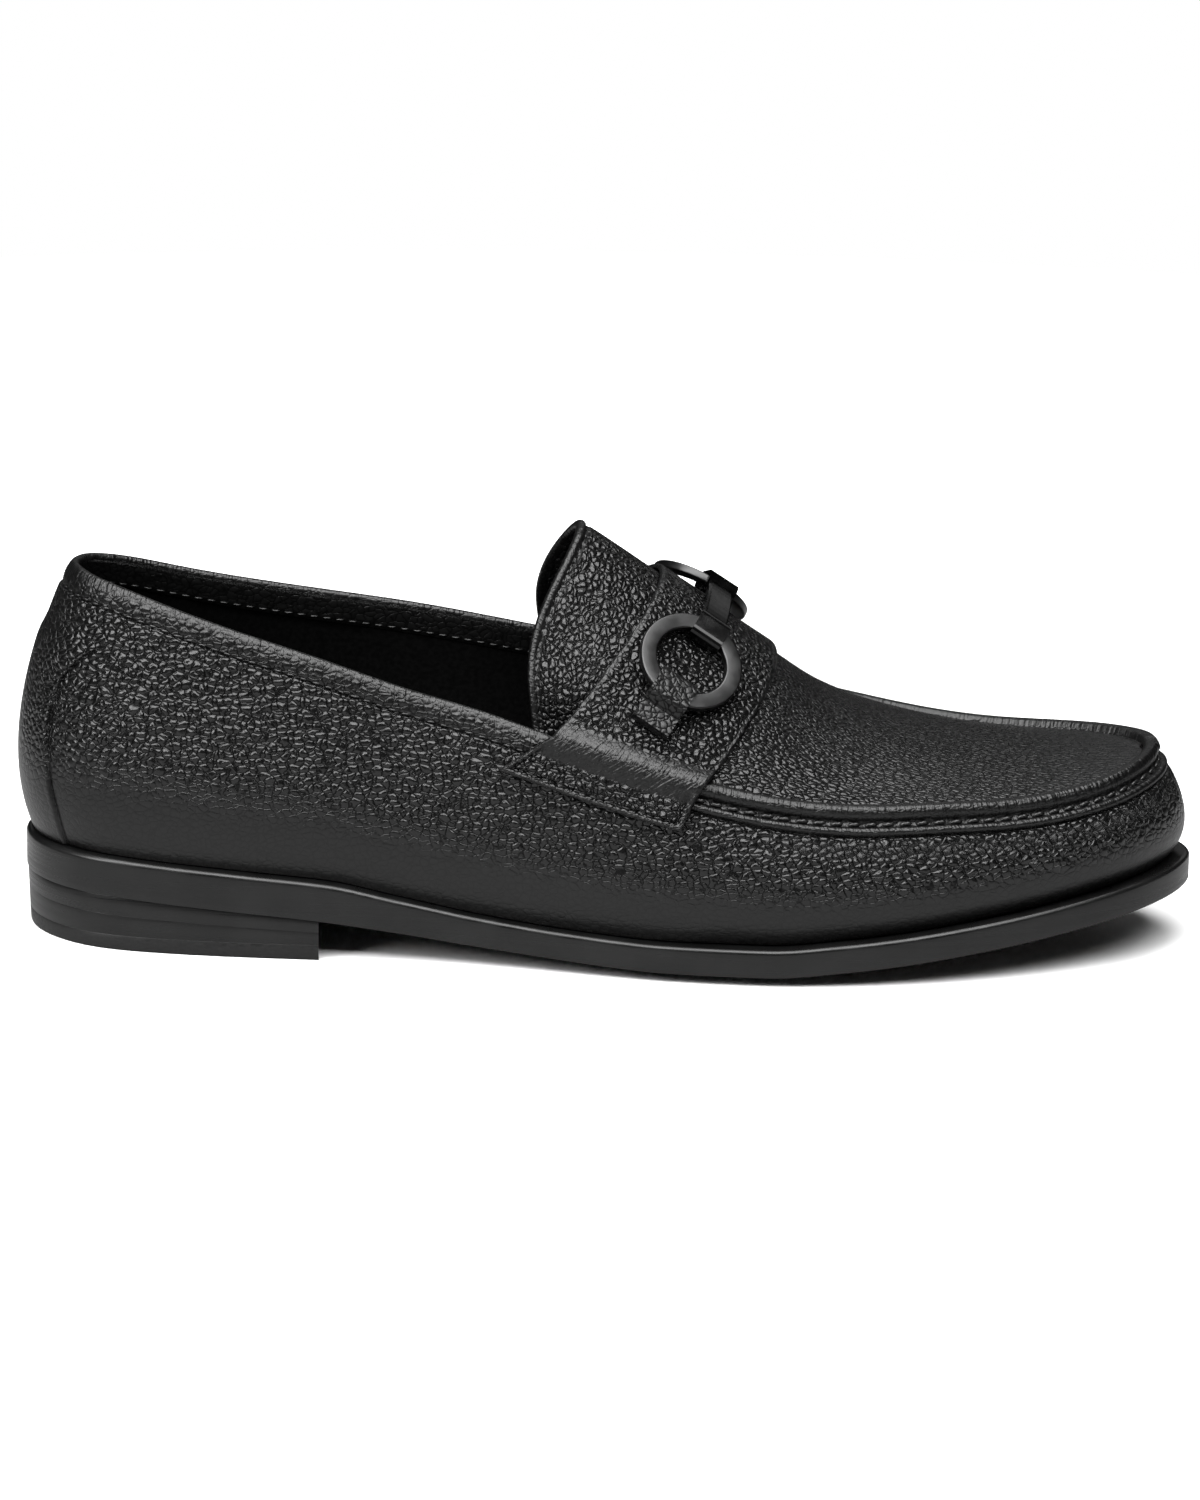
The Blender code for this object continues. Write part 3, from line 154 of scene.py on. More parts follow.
# The underside along the sole: place, share of HEEL_RISE, share of TOE_SPRING, share of SOLE_CUP,
# share of HEEL_RAND that the sole is thicker by.
UNDERSIDE = (
    (0.00, 1.000, 0.000, 0.00, 1.00),
    (0.07, 0.960, 0.000, 0.00, 1.00),
    (0.14, 0.870, 0.000, 0.00, 1.00),
    (0.20, 0.785, 0.000, 0.00, 1.00),
    (0.265, 0.680, 0.000, 0.00, 1.00),
    (0.33, 0.462, 0.000, 0.35, 0.50),
    (0.395, 0.240, 0.000, 0.75, 0.15),
    (0.46, 0.100, 0.000, 0.95, 0.00),
    (0.51, 0.030, 0.000, 1.00, 0.00),
    (0.55, 0.000, 0.000, 1.00, 0.00),
    (0.64, 0.000, 0.000, 1.00, 0.00),
    (0.70, 0.000, 0.093, 1.00, 0.00),
    (0.75, 0.000, 0.202, 0.95, 0.00),
    (0.80, 0.000, 0.340, 0.85, 0.00),
    (0.85, 0.000, 0.494, 0.70, 0.00),
    (0.90, 0.000, 0.665, 0.50, 0.00),
    (0.95, 0.000, 0.847, 0.25, 0.00),
    (1.00, 0.000, 1.000, 0.00, 0.00),
)
CUP_STARTS = 0.45

# The raised edge of the back piece: height on the wall, as a share, and the row that it passes through.
BACK_EDGE = ((0.0, 2.05), (0.12, 1.97), (0.28, 1.77), (0.45, 1.66), (0.60, 1.85), (0.70, 2.25), (0.80, 2.90))
BACK_EDGE_ENDS = 0.80

# Rows where the throat, the tongue and the strap begin and end
THROAT_ROW = 10.0
TONGUE_TOP_ROW = 7.80
TONGUE_SIDE_ROW = 8.70
TONGUE_DIVE_ROW = 9.35
TONGUE_END_ROW = 10.4
STRAP_REAR_ROW = 9.0
STRAP_FRONT_ROW = 11.0
TAB_REAR_ROW = 8.25
TAB_FRONT_ROW = 10.6

# How finely the surfaces are sampled
CURVE_SAMPLES = 81


def smooth_step(x):
    """0 below 0, 1 above 1, and a smooth rise between."""
    x = np.clip(x, 0.0, 1.0)
    return x * x * (3.0 - 2.0 * x)


def unit(v):
    """v at length 1."""
    v = np.asarray(v, float)
    return v / np.maximum(np.linalg.norm(v, axis=-1, keepdims=True), 1e-12)


class ClosedSpline:
    """A smooth closed curve through points that lie one unit of its parameter apart."""

    def __init__(self, points):
        self.points = np.asarray(points, float).reshape(len(points), -1)
        n = len(self.points)
        system = 4.0 * np.eye(n) + np.roll(np.eye(n), 1, 1) + np.roll(np.eye(n), -1, 1)
        ahead = np.roll(self.points, -1, 0)
        behind = np.roll(self.points, 1, 0)
        self.slopes = np.linalg.solve(system, 3.0 * (ahead - behind))

    def at(self, u):
        """The point at a place of the curve."""
        n = len(self.points)
        i = int(math.floor(u)) % n
        j = (i + 1) % n
        s = u - math.floor(u)
        h1 = (1 + 2 * s) * (1 - s) ** 2
        h2 = s * (1 - s) ** 2
        h3 = s * s * (3 - 2 * s)
        h4 = s * s * (s - 1)
        return h1 * self.points[i] + h2 * self.slopes[i] + h3 * self.points[j] + h4 * self.slopes[j]

    def slope(self, u):
        """The change of the point with its place."""
        small = 1e-4
        return (self.at(u + small) - self.at(u - small)) / (2 * small)


def round_loop(lateral, medial):
    """The closed spline through the lateral rows from heel to toe and the medial rows back to the heel."""
    return ClosedSpline(list(lateral) + list(medial)[-2:0:-1])


def column(name):
    """One column of SECTIONS."""
    return [row[SECTION_COLUMNS.index(name)] for row in SECTIONS]


def loop_place(side, row):
    """Where a row of one side lies on the closed loops. Side is -1 for lateral and 1 for medial."""
    return row if side < 0 else 2 * LAST_ROW - row


def table_value(rows, place, which):
    """A value between the rows of a table, read along a curve that doesn't overshoot."""
    places = np.array([row[0] for row in rows])
    values = np.array([row[which] for row in rows])
    gaps = np.diff(places)
    rates = np.diff(values) / gaps
    slopes = np.zeros(len(values))
    before, after = rates[:-1], rates[1:]
    slopes[1:-1] = np.where(after * before > 0, 2 * after * before / (after + before + 1e-12), 0)
    slopes[0], slopes[-1] = rates[0], rates[-1]
    place = min(max(place, places[0]), places[-1])
    i = min(int(np.searchsorted(places, place, side="right")) - 1, len(gaps) - 1)
    s = (place - places[i]) / gaps[i]
    return (
        (1 + 2 * s) * (1 - s) ** 2 * values[i]
        + s * (1 - s) ** 2 * gaps[i] * slopes[i]
        + s * s * (3 - 2 * s) * values[i + 1]
        + s * s * (s - 1) * gaps[i] * slopes[i + 1]
    )


def fine_curve(rows, which, count=1501):
    """A column of a table as a finely sampled curve: places and values."""
    places = np.linspace(rows[0][0], rows[-1][0], count)
    return places, np.array([table_value(rows, place, which) for place in places])


def sampled(curve, place):
    """The value of a finely sampled curve at a place."""
    return float(np.interp(place, *curve))


UNDER_CURVES = {which: fine_curve(UNDERSIDE, which) for which in (1, 2, 3, 4)}
HALF_BALL = BALL_WIDTH / 2
SOLE_EDGE = round_loop(
    [(a * SOLE_LENGTH, -r * HALF_BALL) for a, r in zip(column("along"), column("lateral"))],
    [(a * SOLE_LENGTH, r * HALF_BALL) for a, r in zip(column("along"), column("medial"))],
)


def reach_samples(side):
    """The sole edge of one side as places along the sole and reaches."""
    points = [SOLE_EDGE.at(loop_place(side, row)) for row in np.linspace(0, LAST_ROW, 401)]
    return np.array(points).T


REACHES = {-1: reach_samples(-1), 1: reach_samples(1)}


def side_reach(x, side):
    """How far the sole reaches to one side of Y = 0, at a place along it."""
    return float(np.interp(x, *REACHES[side]))


def cup(x, y):
    """How far the sole curls up at its sides, at a point of its plan."""
    here = min(max(x, 0.0), SOLE_LENGTH)
    left, right = side_reach(here, -1), side_reach(here, 1)
    share = abs(2 * y - left - right) / max(right - left, 1 * MM)
    amount = sampled(UNDER_CURVES[3], x / SOLE_LENGTH)
    return SOLE_CUP * amount * smooth_step((share - CUP_STARTS) / (1 - CUP_STARTS))


def under_height(x):
    """Height of the underside of the outsole along its middle."""
    place = x / SOLE_LENGTH
    return HEEL_RISE * sampled(UNDER_CURVES[1], place) + TOE_SPRING * sampled(UNDER_CURVES[2], place)


def sole_depth(x):
    """Thickness of the outsole with the rand on its heel part."""
    return SOLE_THICKNESS + HEEL_RAND * sampled(UNDER_CURVES[4], x / SOLE_LENGTH)


def seat_height(x, y):
    """Height of the top face of the outsole."""
    return under_height(x) + sole_depth(x) + cup(x, y)


def edge_outward(u):
    """The direction, in plan, that points out of the sole edge."""
    along = SOLE_EDGE.slope(u)
    return unit(np.array([-along[1], along[0]])) * -1.0


def edge_point(u, inset):
    """A point of the sole edge, moved inwards."""
    return SOLE_EDGE.at(u) - edge_outward(u) * inset


def feather_inset(u):
    """How far the upper stands in from the sole edge."""
    row = u if u <= LAST_ROW else 2 * LAST_ROW - u
    return FEATHER_INSET_HEEL + (FEATHER_INSET_TOE - FEATHER_INSET_HEEL) * smooth_step(row / (LAST_ROW / 2))


def feather_point(u):
    """Where the outer face of the upper meets the sole."""
    x, y = edge_point(u, feather_inset(u))
    return np.array([x, y, seat_height(x, y) + 1.4 * GAP])


def top_row(i, side):
    """The top line at one row of the table."""
    place, toe = column("top_along")[i], column("toe_part")[i]
    reach = column("top_lateral" if side < 0 else "top_medial")[i]
    height = column("lateral_height" if side < 0 else "medial_height")[i]
    local = BACK_HEIGHT + (TOE_HEIGHT - BACK_HEIGHT) * toe
    base = feather_point(loop_place(side, i))[2]
    return (place * SOLE_LENGTH, side * reach * HALF_BALL, base + local * height)


ROWS = range(len(SECTIONS))
TOP_LINE = round_loop([top_row(i, -1) for i in ROWS], [top_row(i, 1) for i in ROWS])
FULLNESS = round_loop(*[list(zip(column("belly_low"), column("belly_high")))] * 2)
LOW_HANDLE = 0.28
HIGH_HANDLE = 0.32


def lengths_along(points):
    """How far along a polyline each of its points lies."""
    steps = np.linalg.norm(np.diff(points, axis=0), axis=1)
    return np.concatenate([[0.0], np.cumsum(steps)])


def points_at(wanted, places, points):
    """The points at wanted places of a polyline, whose own points lie at the other places."""
    return np.stack([np.interp(wanted, places, points[:, k]) for k in range(3)], -1)


def evenly(points):
    """A function that gives the point at a distance along a polyline, and the polyline's length."""
    points = np.asarray(points, float)
    length = lengths_along(points)

    def at(distance):
        return np.array([np.interp(distance, length, points[:, k]) for k in range(3)])

    return at, length[-1]


def wall_curve(u):
    """The wall's outer face at one place of the loop, by the distance from its top, and its length."""
    foot = feather_point(u)
    top = TOP_LINE.at(u)
    out = np.append(edge_outward(u), 0.0)
    low, high = FULLNESS.at(u) * BELLY
    height = top[2] - foot[2]
    up = np.array([0.0, 0.0, 1.0])
    handle_low = foot + out * low + up * height * LOW_HANDLE
    handle_high = top + out * high - up * height * HIGH_HANDLE
    s = np.linspace(0, 1, CURVE_SAMPLES)[:, None]
    points = (
        (1 - s) ** 3 * top
        + 3 * s * (1 - s) ** 2 * handle_high
        + 3 * s * s * (1 - s) * handle_low
        + s ** 3 * foot
    )
    return evenly(points)


def crown_rows():
    """The crown at each row that has one: row, place ahead of the top line, height above it, and power."""
    ahead = [INSTEP_LEAN * row[0] for row in CROWN]
    above = [INSTEP_RISE * row[1] for row in CROWN]
    power = [row[2] for row in CROWN]
    return list(zip(range(CROWN_FIRST_ROW, LAST_ROW + 1), ahead, above, power))


CROWN_ROWS = crown_rows()
CROWN_CURVES = {which: fine_curve(CROWN_ROWS, which) for which in (1, 2, 3)}


def arch_points(row, angles, tuck=0.0, drop=0.0, snug=0.0):
    """Points of the arch over the foot, from the lateral top line at angle 0 to the medial one at pi.

    Tuck moves both feet of the arch towards each other, and drop lowers them. With snug at 1 they act
    near the feet alone, and above them the arch keeps its place.
    """
    left = TOP_LINE.at(loop_place(-1, row))
    right = TOP_LINE.at(loop_place(1, row))
    middle = (left + right) / 2
    half = (left - right) / 2
    width = np.linalg.norm(half)
    inwards = -half * min(tuck / max(width, 1e-9), 1.0)
    down = np.array([0.0, 0.0, -drop])
    rise = np.array([sampled(CROWN_CURVES[1], row), 0.0, sampled(CROWN_CURVES[2], row)])
    angles = np.asarray(angles, float)[:, None]
    height = np.abs(np.sin(angles))
    lift = height ** sampled(CROWN_CURVES[3], row)
    near_feet = 1.0 - snug * smooth_step((height - TONGUE_SNUG_FROM) / TONGUE_SNUG_OVER)
    hang = (down * (1 - lift) + inwards * np.cos(angles)) * near_feet
    return middle + half * np.cos(angles) + rise * lift + hang


def instep_curve(row):
    """The arch over the foot as a function of the distance from its lateral end, and its length."""
    return evenly(arch_points(row, np.linspace(0, math.pi, 2 * CURVE_SAMPLES)))


def grid_normals(grid, closed):
    """Unit normals of a grid of points, first index around or along, second index across."""
    grid = np.asarray(grid, float)
    if closed:
        first = np.roll(grid, -1, 0) - np.roll(grid, 1, 0)
    else:
        first = np.gradient(grid, axis=0)
    second = np.gradient(grid, axis=1)
    return unit(np.cross(first, second))


def bump(distance, half, height):
    """A rounded ridge that ends at half to each side."""
    share = np.clip(np.abs(distance) / max(half, 1e-9), 0, 1)
    return height * np.cos(share * math.pi / 2) ** 1.5


def seam_share(row):
    """0 where the top line is a collar, 1 where it is the seam of the apron."""
    return float(smooth_step((row - (STRAP_FRONT_ROW - 1.0)) / 0.8))


def back_edge_row(height_share):
    """The row that the edge of the back piece passes through at a height on the wall."""
    return table_value(BACK_EDGE, min(height_share, BACK_EDGE_ENDS), 1)


# Profiles in millimetres
# From the rim of the collar, or from the middle of the moccasin seam, down the outside of the wall:
# distance and height on the collar, and distance and height at the seam
TOP_PROFILE = (
    (0.00, -1.20, 0.00, 2.10), (0.06, -0.82, 0.36, 2.08), (0.22, -0.50, 0.72, 2.00),
    (0.50, -0.24, 1.08, 1.84), (0.85, -0.06, 1.42, 1.58), (1.30, 0.08, 1.72, 1.24),
    (1.80, 0.20, 1.96, 0.86), (2.40, 0.29, 2.12, 0.46), (3.00, 0.34, 2.24, 0.08),
    (3.60, 0.35, 2.44, -0.22), (4.20, 0.33, 2.75, -0.36), (4.80, 0.27, 3.25, -0.42),
    (5.40, 0.17, 3.75, -0.36), (5.90, 0.05, 4.05, -0.14), (6.30, -0.08, 4.22, 0.22),
    (6.60, -0.22, 4.45, 0.58), (6.80, -0.36, 4.78, 0.84), (6.95, -0.45, 5.20, 0.96),
    (7.05, -0.45, 5.65, 0.90), (7.12, -0.20, 6.02, 0.68), (7.20, 0.15, 6.30, 0.35),
    (7.35, 0.38, 6.46, -0.02), (7.60, 0.48, 6.60, -0.40), (8.00, 0.50, 6.80, -0.50),
    (8.50, 0.50, 7.02, -0.22), (9.20, 0.50, 7.42, 0.16), (10.2, 0.50, 8.10, 0.28),
    (11.4, 0.50, 9.20, 0.24), (13.0, 0.50, 10.8, 0.18),
)
# The inside of the rim, from its top down: distance and height
RIM_PROFILE = ((0.06, -1.58), (0.22, -1.90), (0.50, -2.16), (0.85, -2.34), (1.30, -2.44))
# The inside of the wall: distances, and then shares of what is left below
INSIDE_DISTANCES = (2.2, 4.0, 6.5, 8.6, 8.9, 11.0)
INSIDE_SHARES = (0.15, 0.32, 0.50, 0.68, 0.84, 1.0)
FACING_DEPTH = 8.75
# The apron beside the seam: distance and height
APRON_PROFILE = (
    (0.00, 2.10), (0.36, 2.08), (0.72, 2.00), (1.08, 1.84), (1.42, 1.58), (1.70, 1.22), (1.90, 0.80),
    (2.02, 0.38), (2.14, 0.02), (2.34, -0.20), (2.64, -0.18), (3.10, -0.06), (3.80, 0.0),
)
# The edge of the back piece: rows from the edge, and the share of BACK_STEP there
STAY_EDGE = (
    (-0.10, 1.0), (-0.05, 1.05), (-0.022, 0.96), (-0.006, 0.72),
    (0.006, 0.12), (0.02, -0.22), (0.04, -0.16), (0.09, 0.0),
)
# The under side of the tongue near its free edge: distance and height
TONGUE_UNDER = ((0.0, -1.2), (0.05, -1.6), (0.2, -1.95), (0.6, -2.3), (1.2, -2.4))
# The free edge of the tongue: distance and height
TONGUE_PROFILE = (
    (0.00, -0.95), (0.05, -0.50), (0.20, -0.12), (0.45, 0.18), (0.80, 0.38), (1.20, 0.46), (1.60, 0.40),
    (1.95, 0.20), (2.20, -0.08), (2.45, -0.32), (2.80, -0.38), (3.20, -0.30), (3.50, -0.10), (3.80, 0.0),
)
FACING_STEP = 0.35 * MM
# The edge of the sole from the bottom up: inset, the face that the height is measured from, and the height
SOLE_EDGE_PROFILE = (
    (0.30, "under", 0.0), (0.09, "under", 0.07), (0.0, "under", 0.30), (0.0, "under", 1.8),
    (0.0, "seat", -2.6), (0.0, "seat", -1.3), (0.06, "seat", -0.95), (0.22, "seat", -0.60),
    (0.50, "seat", -0.28), (0.85, "seat", -0.08), (1.3, "seat", 0.0),
)
# The edge of the sock from the bottom up: inset and height
SOCK_PROFILE = ((2.4, 0.0), (2.2, 2.4), (2.4, 3.0), (2.9, 3.35), (3.6, 3.4))
# The joint between the two layers of the heel, as a share of its height, and its depth
HEEL_JOINT = 0.52
HEEL_JOINT_DEPTH = 0.04 * MM

# How finely the wall, the apron and the sole are divided, and over how many rows the seam turns its normals
STAY_COLUMNS = 34
BETWEEN_COLUMNS = 16
PLAIN_STEP = 1 / 22
LOWER_ROWS = 29
APRON_MIDDLE_POINTS = 74
JOINT_STEPS = 9
SOLE_STEP = 1 / 12
SOCK_STEP = 1 / 6

# How finely the tongue is divided
TONGUE_SAMPLES = 60
TONGUE_ROWS = 44
TONGUE_COLUMNS = 87

# Bands without grain: the rolled edge of the apron, the seam on the wall, the collar and its rim
APRON_BAND = 2.2 * MM
SEAM_BAND = 7.0 * MM
COLLAR_SMOOTH = 7.1 * MM
RIM_SMOOTH = 3 * MM

# The strength of the grain on the wall: the height, as a share, where it begins, how much higher that is
# in front, over how much height it grows, its least share, and what it loses over the toe and at the back
GRAIN_FROM = 0.20
GRAIN_FRONT_RISE = 0.06
GRAIN_OVER = 0.26
GRAIN_LEAST = 0.10
GRAIN_TOE_LOSS = 0.55
GRAIN_BACK_LOSS = 0.5

# The puckers below the seam
PUCKER_PITCH = 4.4 * MM
PUCKER_HEIGHT = 0.20 * MM
PUCKER_FROM = 6.7 * MM
PUCKER_FADES_FROM = 8 * MM
PUCKER_FADES_OVER = 11 * MM

# Where the rows of stitches run
SEAM_STITCH_AT = 3.25 * MM
SEAM_STITCH_ROW = 10.55
COLLAR_STITCH_AT = 6.55 * MM
COLLAR_STITCH_SUNK = -0.05 * MM
LINING_STITCH_AT = 7.6 * MM
LINING_STITCH_SUNK = -WALL - 0.62 * MM
TAB_STITCHES = (8.2 * MM, 11.6 * MM)
TONGUE_STITCH_AT = 2.85 * MM
TONGUE_STITCH_SUNK = -0.36 * MM
# The threads: pitch, length and width of a stitch in millimetres, and its slant in degrees
THREADS = {
    "seam": (4.4, 3.4, 1.05, 6.0),
    "collar": (3.4, 2.3, 0.55, 4.0),
    "tab": (4.3, 3.0, 0.7, 3.0),
    "tongue": (3.0, 2.0, 0.5, 3.0),
}
STITCH_SINK = 0.10 * MM
STITCH_END_SINK = 0.35 * MM
STITCH_LIFT = 0.05 * MM
STITCH_FLATNESS = 0.42
STITCH_FULLNESS = 3.2
STITCH_SIDES = 8
STITCH_RINGS = 9


def along_loop(place, kind, height_share):
    """The row of the section table that a column of the wall follows at a height on the wall."""
    edge = back_edge_row(height_share)
    if kind == "stay":
        return (edge + STAY_EDGE[0][0]) * place
    if kind == "edge":
        return edge + place
    if kind == "plain":
        blend = 1.0 - smooth_step((place - 3.0) / 2.0)
        push = max(edge + 0.35 - 2.2, 0.0)
        return place + 0.55 * push * float(blend)
    start = edge + STAY_EDGE[-1][0]
    return start + (along_loop(3.0, "plain", height_share) - start) * place


def wall_columns():
    """For each column of the wall: side, place, kind, and its share of the step of the back piece."""
    stay = [(p, "stay", 1.0) for p in np.linspace(0, 1, STAY_COLUMNS)[:-1]]
    edge = [(delta, "edge", share) for delta, share in STAY_EDGE]
    between = [(p, "between", 0.0) for p in np.linspace(0, 1, BETWEEN_COLUMNS)[1:-1]]
    rows = np.arange(3.0, LAST_ROW + PLAIN_STEP / 2, PLAIN_STEP)
    rows[-1] = LAST_ROW
    plain = [(float(r), "plain", 0.0) for r in rows]
    one_side = stay + edge + between + plain
    lateral = [(-1, *one) for one in one_side]
    medial = [(1, *one) for one in one_side[1:-1]]
    return lateral + medial[::-1]


def top_profile(row):
    """Distances and heights of the outside of the wall near its top, at a row of the section table."""
    seam = seam_share(row)
    table = np.array(TOP_PROFILE) * MM
    return table[:, 0] * (1 - seam) + table[:, 2] * seam, table[:, 1] * (1 - seam) + table[:, 3] * seam


def pucker(around, distance, row):
    """The gathers of the wall below the seam: they fade downwards and are strongest over the toes."""
    strength = smooth_step((row - 11.0) / 5.0) * (0.45 + 0.55 * smooth_step((row - 14) / 4))
    begins = smooth_step((distance - PUCKER_FROM) / (0.6 * MM))
    fade = begins * (1 - smooth_step((distance - PUCKER_FADES_FROM) / PUCKER_FADES_OVER))
    phase = 2 * math.pi * around / PUCKER_PITCH
    wave = 0.6 * math.sin(phase) + 0.4 * math.sin(0.53 * phase + 1.3) + 0.3 * math.sin(1.71 * phase + 0.4)
    return PUCKER_HEIGHT * float(strength * fade) * wave


class Skin:
    """Collects the points, faces and point values of one mesh."""

    def __init__(self):
        self.points = []
        self.flow = []
        self.grain = []
        self.smooth = []
        self.faces = []
        self.slots = []
        self.count = 0

    def grid(self, points, flow=None, grain=None, smooth=None):
        """Adds a grid of points and returns their numbers in the same layout."""
        points = np.asarray(points, float)
        shape = points.shape[:2]
        total = shape[0] * shape[1]
        numbers = np.arange(self.count, self.count + total).reshape(shape)
        self.count += total
        self.points.append(points.reshape(-1, 3))
        self.flow.append(np.zeros((total, 3)) if flow is None else np.asarray(flow, float).reshape(-1, 3))
        self.grain.append(np.ones(total) if grain is None else np.asarray(grain, float).reshape(-1))
        self.smooth.append(np.zeros(total) if smooth is None else np.asarray(smooth, float).reshape(-1))
        return numbers

    def cover(self, numbers, closed=False, slot=0):
        """Faces over a grid of numbers."""
        first = numbers if closed else numbers[:-1]
        second = np.roll(numbers, -1, 0) if closed else numbers[1:]
        quads = np.stack([first[:, :-1], second[:, :-1], second[:, 1:], first[:, 1:]], -1).reshape(-1, 4)
        self.faces.extend(quads.tolist())
        self.slots.extend([slot] * len(quads))

    def strip(self, first, second, closed=False, slot=0):
        """Faces between two lines of numbers."""
        self.cover(np.stack([np.asarray(first), np.asarray(second)], 1), closed, slot)

    def cap(self, line, slot=0):
        """One flat face inside a closed line of numbers."""
        self.faces.append([int(number) for number in line])
        self.slots.append(slot)

    def slab(self, outer, inner, **values):
        """A closed body between two grids of points of the same layout."""
        a = self.grid(outer, **values)
        b = self.grid(inner, **values)
        self.cover(a)
        self.cover(b)
        for pick in (np.s_[0, :], np.s_[-1, :], np.s_[:, 0], np.s_[:, -1]):
            self.strip(a[pick], b[pick])

    def build(self, name, finishes, sharp_degrees=50.0):
        """The finished object: welded, facing outwards and shaded smooth."""
        data = bpy.data.meshes.new(name)
        data.from_pydata(np.concatenate(self.points) - WORK_ORIGIN, [], self.faces)
        data.polygons.foreach_set("material_index", self.slots)
        flow = data.attributes.new("flow", "FLOAT_VECTOR", "POINT")
        flow.data.foreach_set("vector", np.concatenate(self.flow).ravel())
        for label, values in (("grain", self.grain), ("smooth", self.smooth)):
            layer = data.attributes.new(label, "FLOAT", "POINT")
            layer.data.foreach_set("value", np.concatenate(values))
        bm = bmesh.new()
        bm.from_mesh(data)
        bmesh.ops.remove_doubles(bm, verts=bm.verts, dist=2e-6)
        bmesh.ops.dissolve_degenerate(bm, edges=bm.edges, dist=1e-6)
        loose = [vert for vert in bm.verts if not vert.link_faces]
        bmesh.ops.delete(bm, geom=loose, context="VERTS")
        bmesh.ops.recalc_face_normals(bm, faces=bm.faces)
        bm.to_mesh(data)
        bm.free()
        for finish in finishes:
            data.materials.append(finish)
        data.shade_smooth()
        data.set_sharp_from_angle(angle=math.radians(sharp_degrees))
        made = bpy.data.objects.new(name, data)
        bpy.context.scene.collection.objects.link(made)
        return made


def sole_low_corner():
    """The lowest X and Y of the outsole in the working frame."""
    rows = np.arange(0, LAST_ROW + 0.25, 0.5)
    edge = [SOLE_EDGE.at(loop_place(side, row)) for side in (-1, 1) for row in rows]
    return np.array(edge).min(0)


WORK_ORIGIN = np.append(sole_low_corner() - np.array(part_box("outsole")[0])[:2], 0.0)


def loop_lengths(columns):
    """How far along the top line each column of the wall lies from the back."""
    rows = [min(along_loop(place, kind, 1.0), LAST_ROW) for _, place, kind, _ in columns]
    points = np.array([TOP_LINE.at(loop_place(one[0], row)) for one, row in zip(columns, rows)])
    tip = next(i for i, one in enumerate(columns) if one[1] == LAST_ROW)
    steps = np.linalg.norm(np.diff(np.vstack([points, points[:1]]), axis=0), axis=1)
    lateral = np.concatenate([[0.0], np.cumsum(steps[:tip])])
    medial = np.cumsum(steps[tip:][::-1])[::-1]
    return np.concatenate([lateral, medial[1:] * lateral[-1] / medial[0]]), tip


def grain_share(row, height):
    """How strong the grain of the wall is: it fades towards the sole and over the front of the toe."""
    low = GRAIN_FROM + GRAIN_FRONT_RISE * smooth_step((row - 12) / 5)
    fade = smooth_step((height - low) / GRAIN_OVER)
    toe = 1 - GRAIN_TOE_LOSS * smooth_step((row - 16.0) / 3.5)
    back = 1 - GRAIN_BACK_LOSS * (1 - smooth_step((row - 0.8) / 2.0))
    return float((GRAIN_LEAST + (1 - GRAIN_LEAST) * fade) * toe * back)


def gather_share(row, distance):
    """How strongly the grain below the seam is drawn into upright gathers."""
    begins = smooth_step((distance - 6.3 * MM) / (0.6 * MM))
    fades = 1 - smooth_step((distance - 8.5 * MM) / (7.5 * MM))
    toe = 1 - 0.4 * smooth_step((row - 17.0) / 3.0)
    return float(begins * fades * smooth_step((row - 11.2) / 1.6) * toe)


def wall_surface():
    """Grids of the wall's outside: points on the plain form, heights, flow, grain and smoothness."""
    columns = wall_columns()
    around, tip = loop_lengths(columns)
    shares = 1 - (1 - np.linspace(0, 1, LOWER_ROWS + 1)[1:]) ** 1.12
    base, lift, flow, grain, smooth = [], [], [], [], []
    for number, (side, place, kind, step) in enumerate(columns):
        reference = min(along_loop(place, kind, 0.9), LAST_ROW)
        curve, length = wall_curve(loop_place(side, reference))
        near, heights = top_profile(reference)
        distances = np.concatenate([near, near[-1] + (length - near[-1]) * shares])
        seam = seam_share(reference)
        below = heights[-1] * (1 - seam * shares)
        heights = np.concatenate([heights, below])
        steady = kind == "plain" and place >= 5.0
        here = length
        line = []
        for distance in distances:
            down = distance / length
            if not steady:
                row = min(along_loop(place, kind, 1.0 - down), LAST_ROW)
                curve, here = wall_curve(loop_place(side, row))
            line.append(curve(here * down if distance > near[-1] else distance))
        height = 1.0 - distances / length
        fade = smooth_step((BACK_EDGE_ENDS - height) / 0.10)
        gathers = [pucker(around[number], d, reference) for d in distances]
        base.append(line)
        lift.append(heights + BACK_STEP * step * fade + gathers)
        flow.append([(around[number], d, gather_share(reference, d)) for d in distances])
        if seam > 0.5:
            band = (distances < SEAM_BAND) * 1.0
        else:
            band = (distances < COLLAR_SMOOTH) * (0.55 + 0.45 * (distances < RIM_SMOOTH))
        smooth.append(band)
        grain.append([grain_share(reference, h) * (1 - 0.8 * b) for h, b in zip(height, band)])
    return columns, around, tip, *(np.array(values) for values in (base, lift, flow, grain, smooth))


def seam_distances(points, seam):
    """How far each point of a grid lies from the line of the seam, and the nearest place on that line."""
    places = np.linspace(0, len(seam) - 1, 6 * len(seam))
    fine = points_at(places, np.arange(len(seam)), seam)
    tree = KDTree(len(fine))
    for number, point in enumerate(fine):
        tree.insert(point, number)
    tree.balance()
    found = [tree.find(point) for point in points.reshape(-1, 3)]
    away = np.array([distance for _, _, distance in found]).reshape(points.shape[:2])
    nearest = np.array([places[number] for _, number, _ in found]).reshape(points.shape[:2])
    return away, nearest


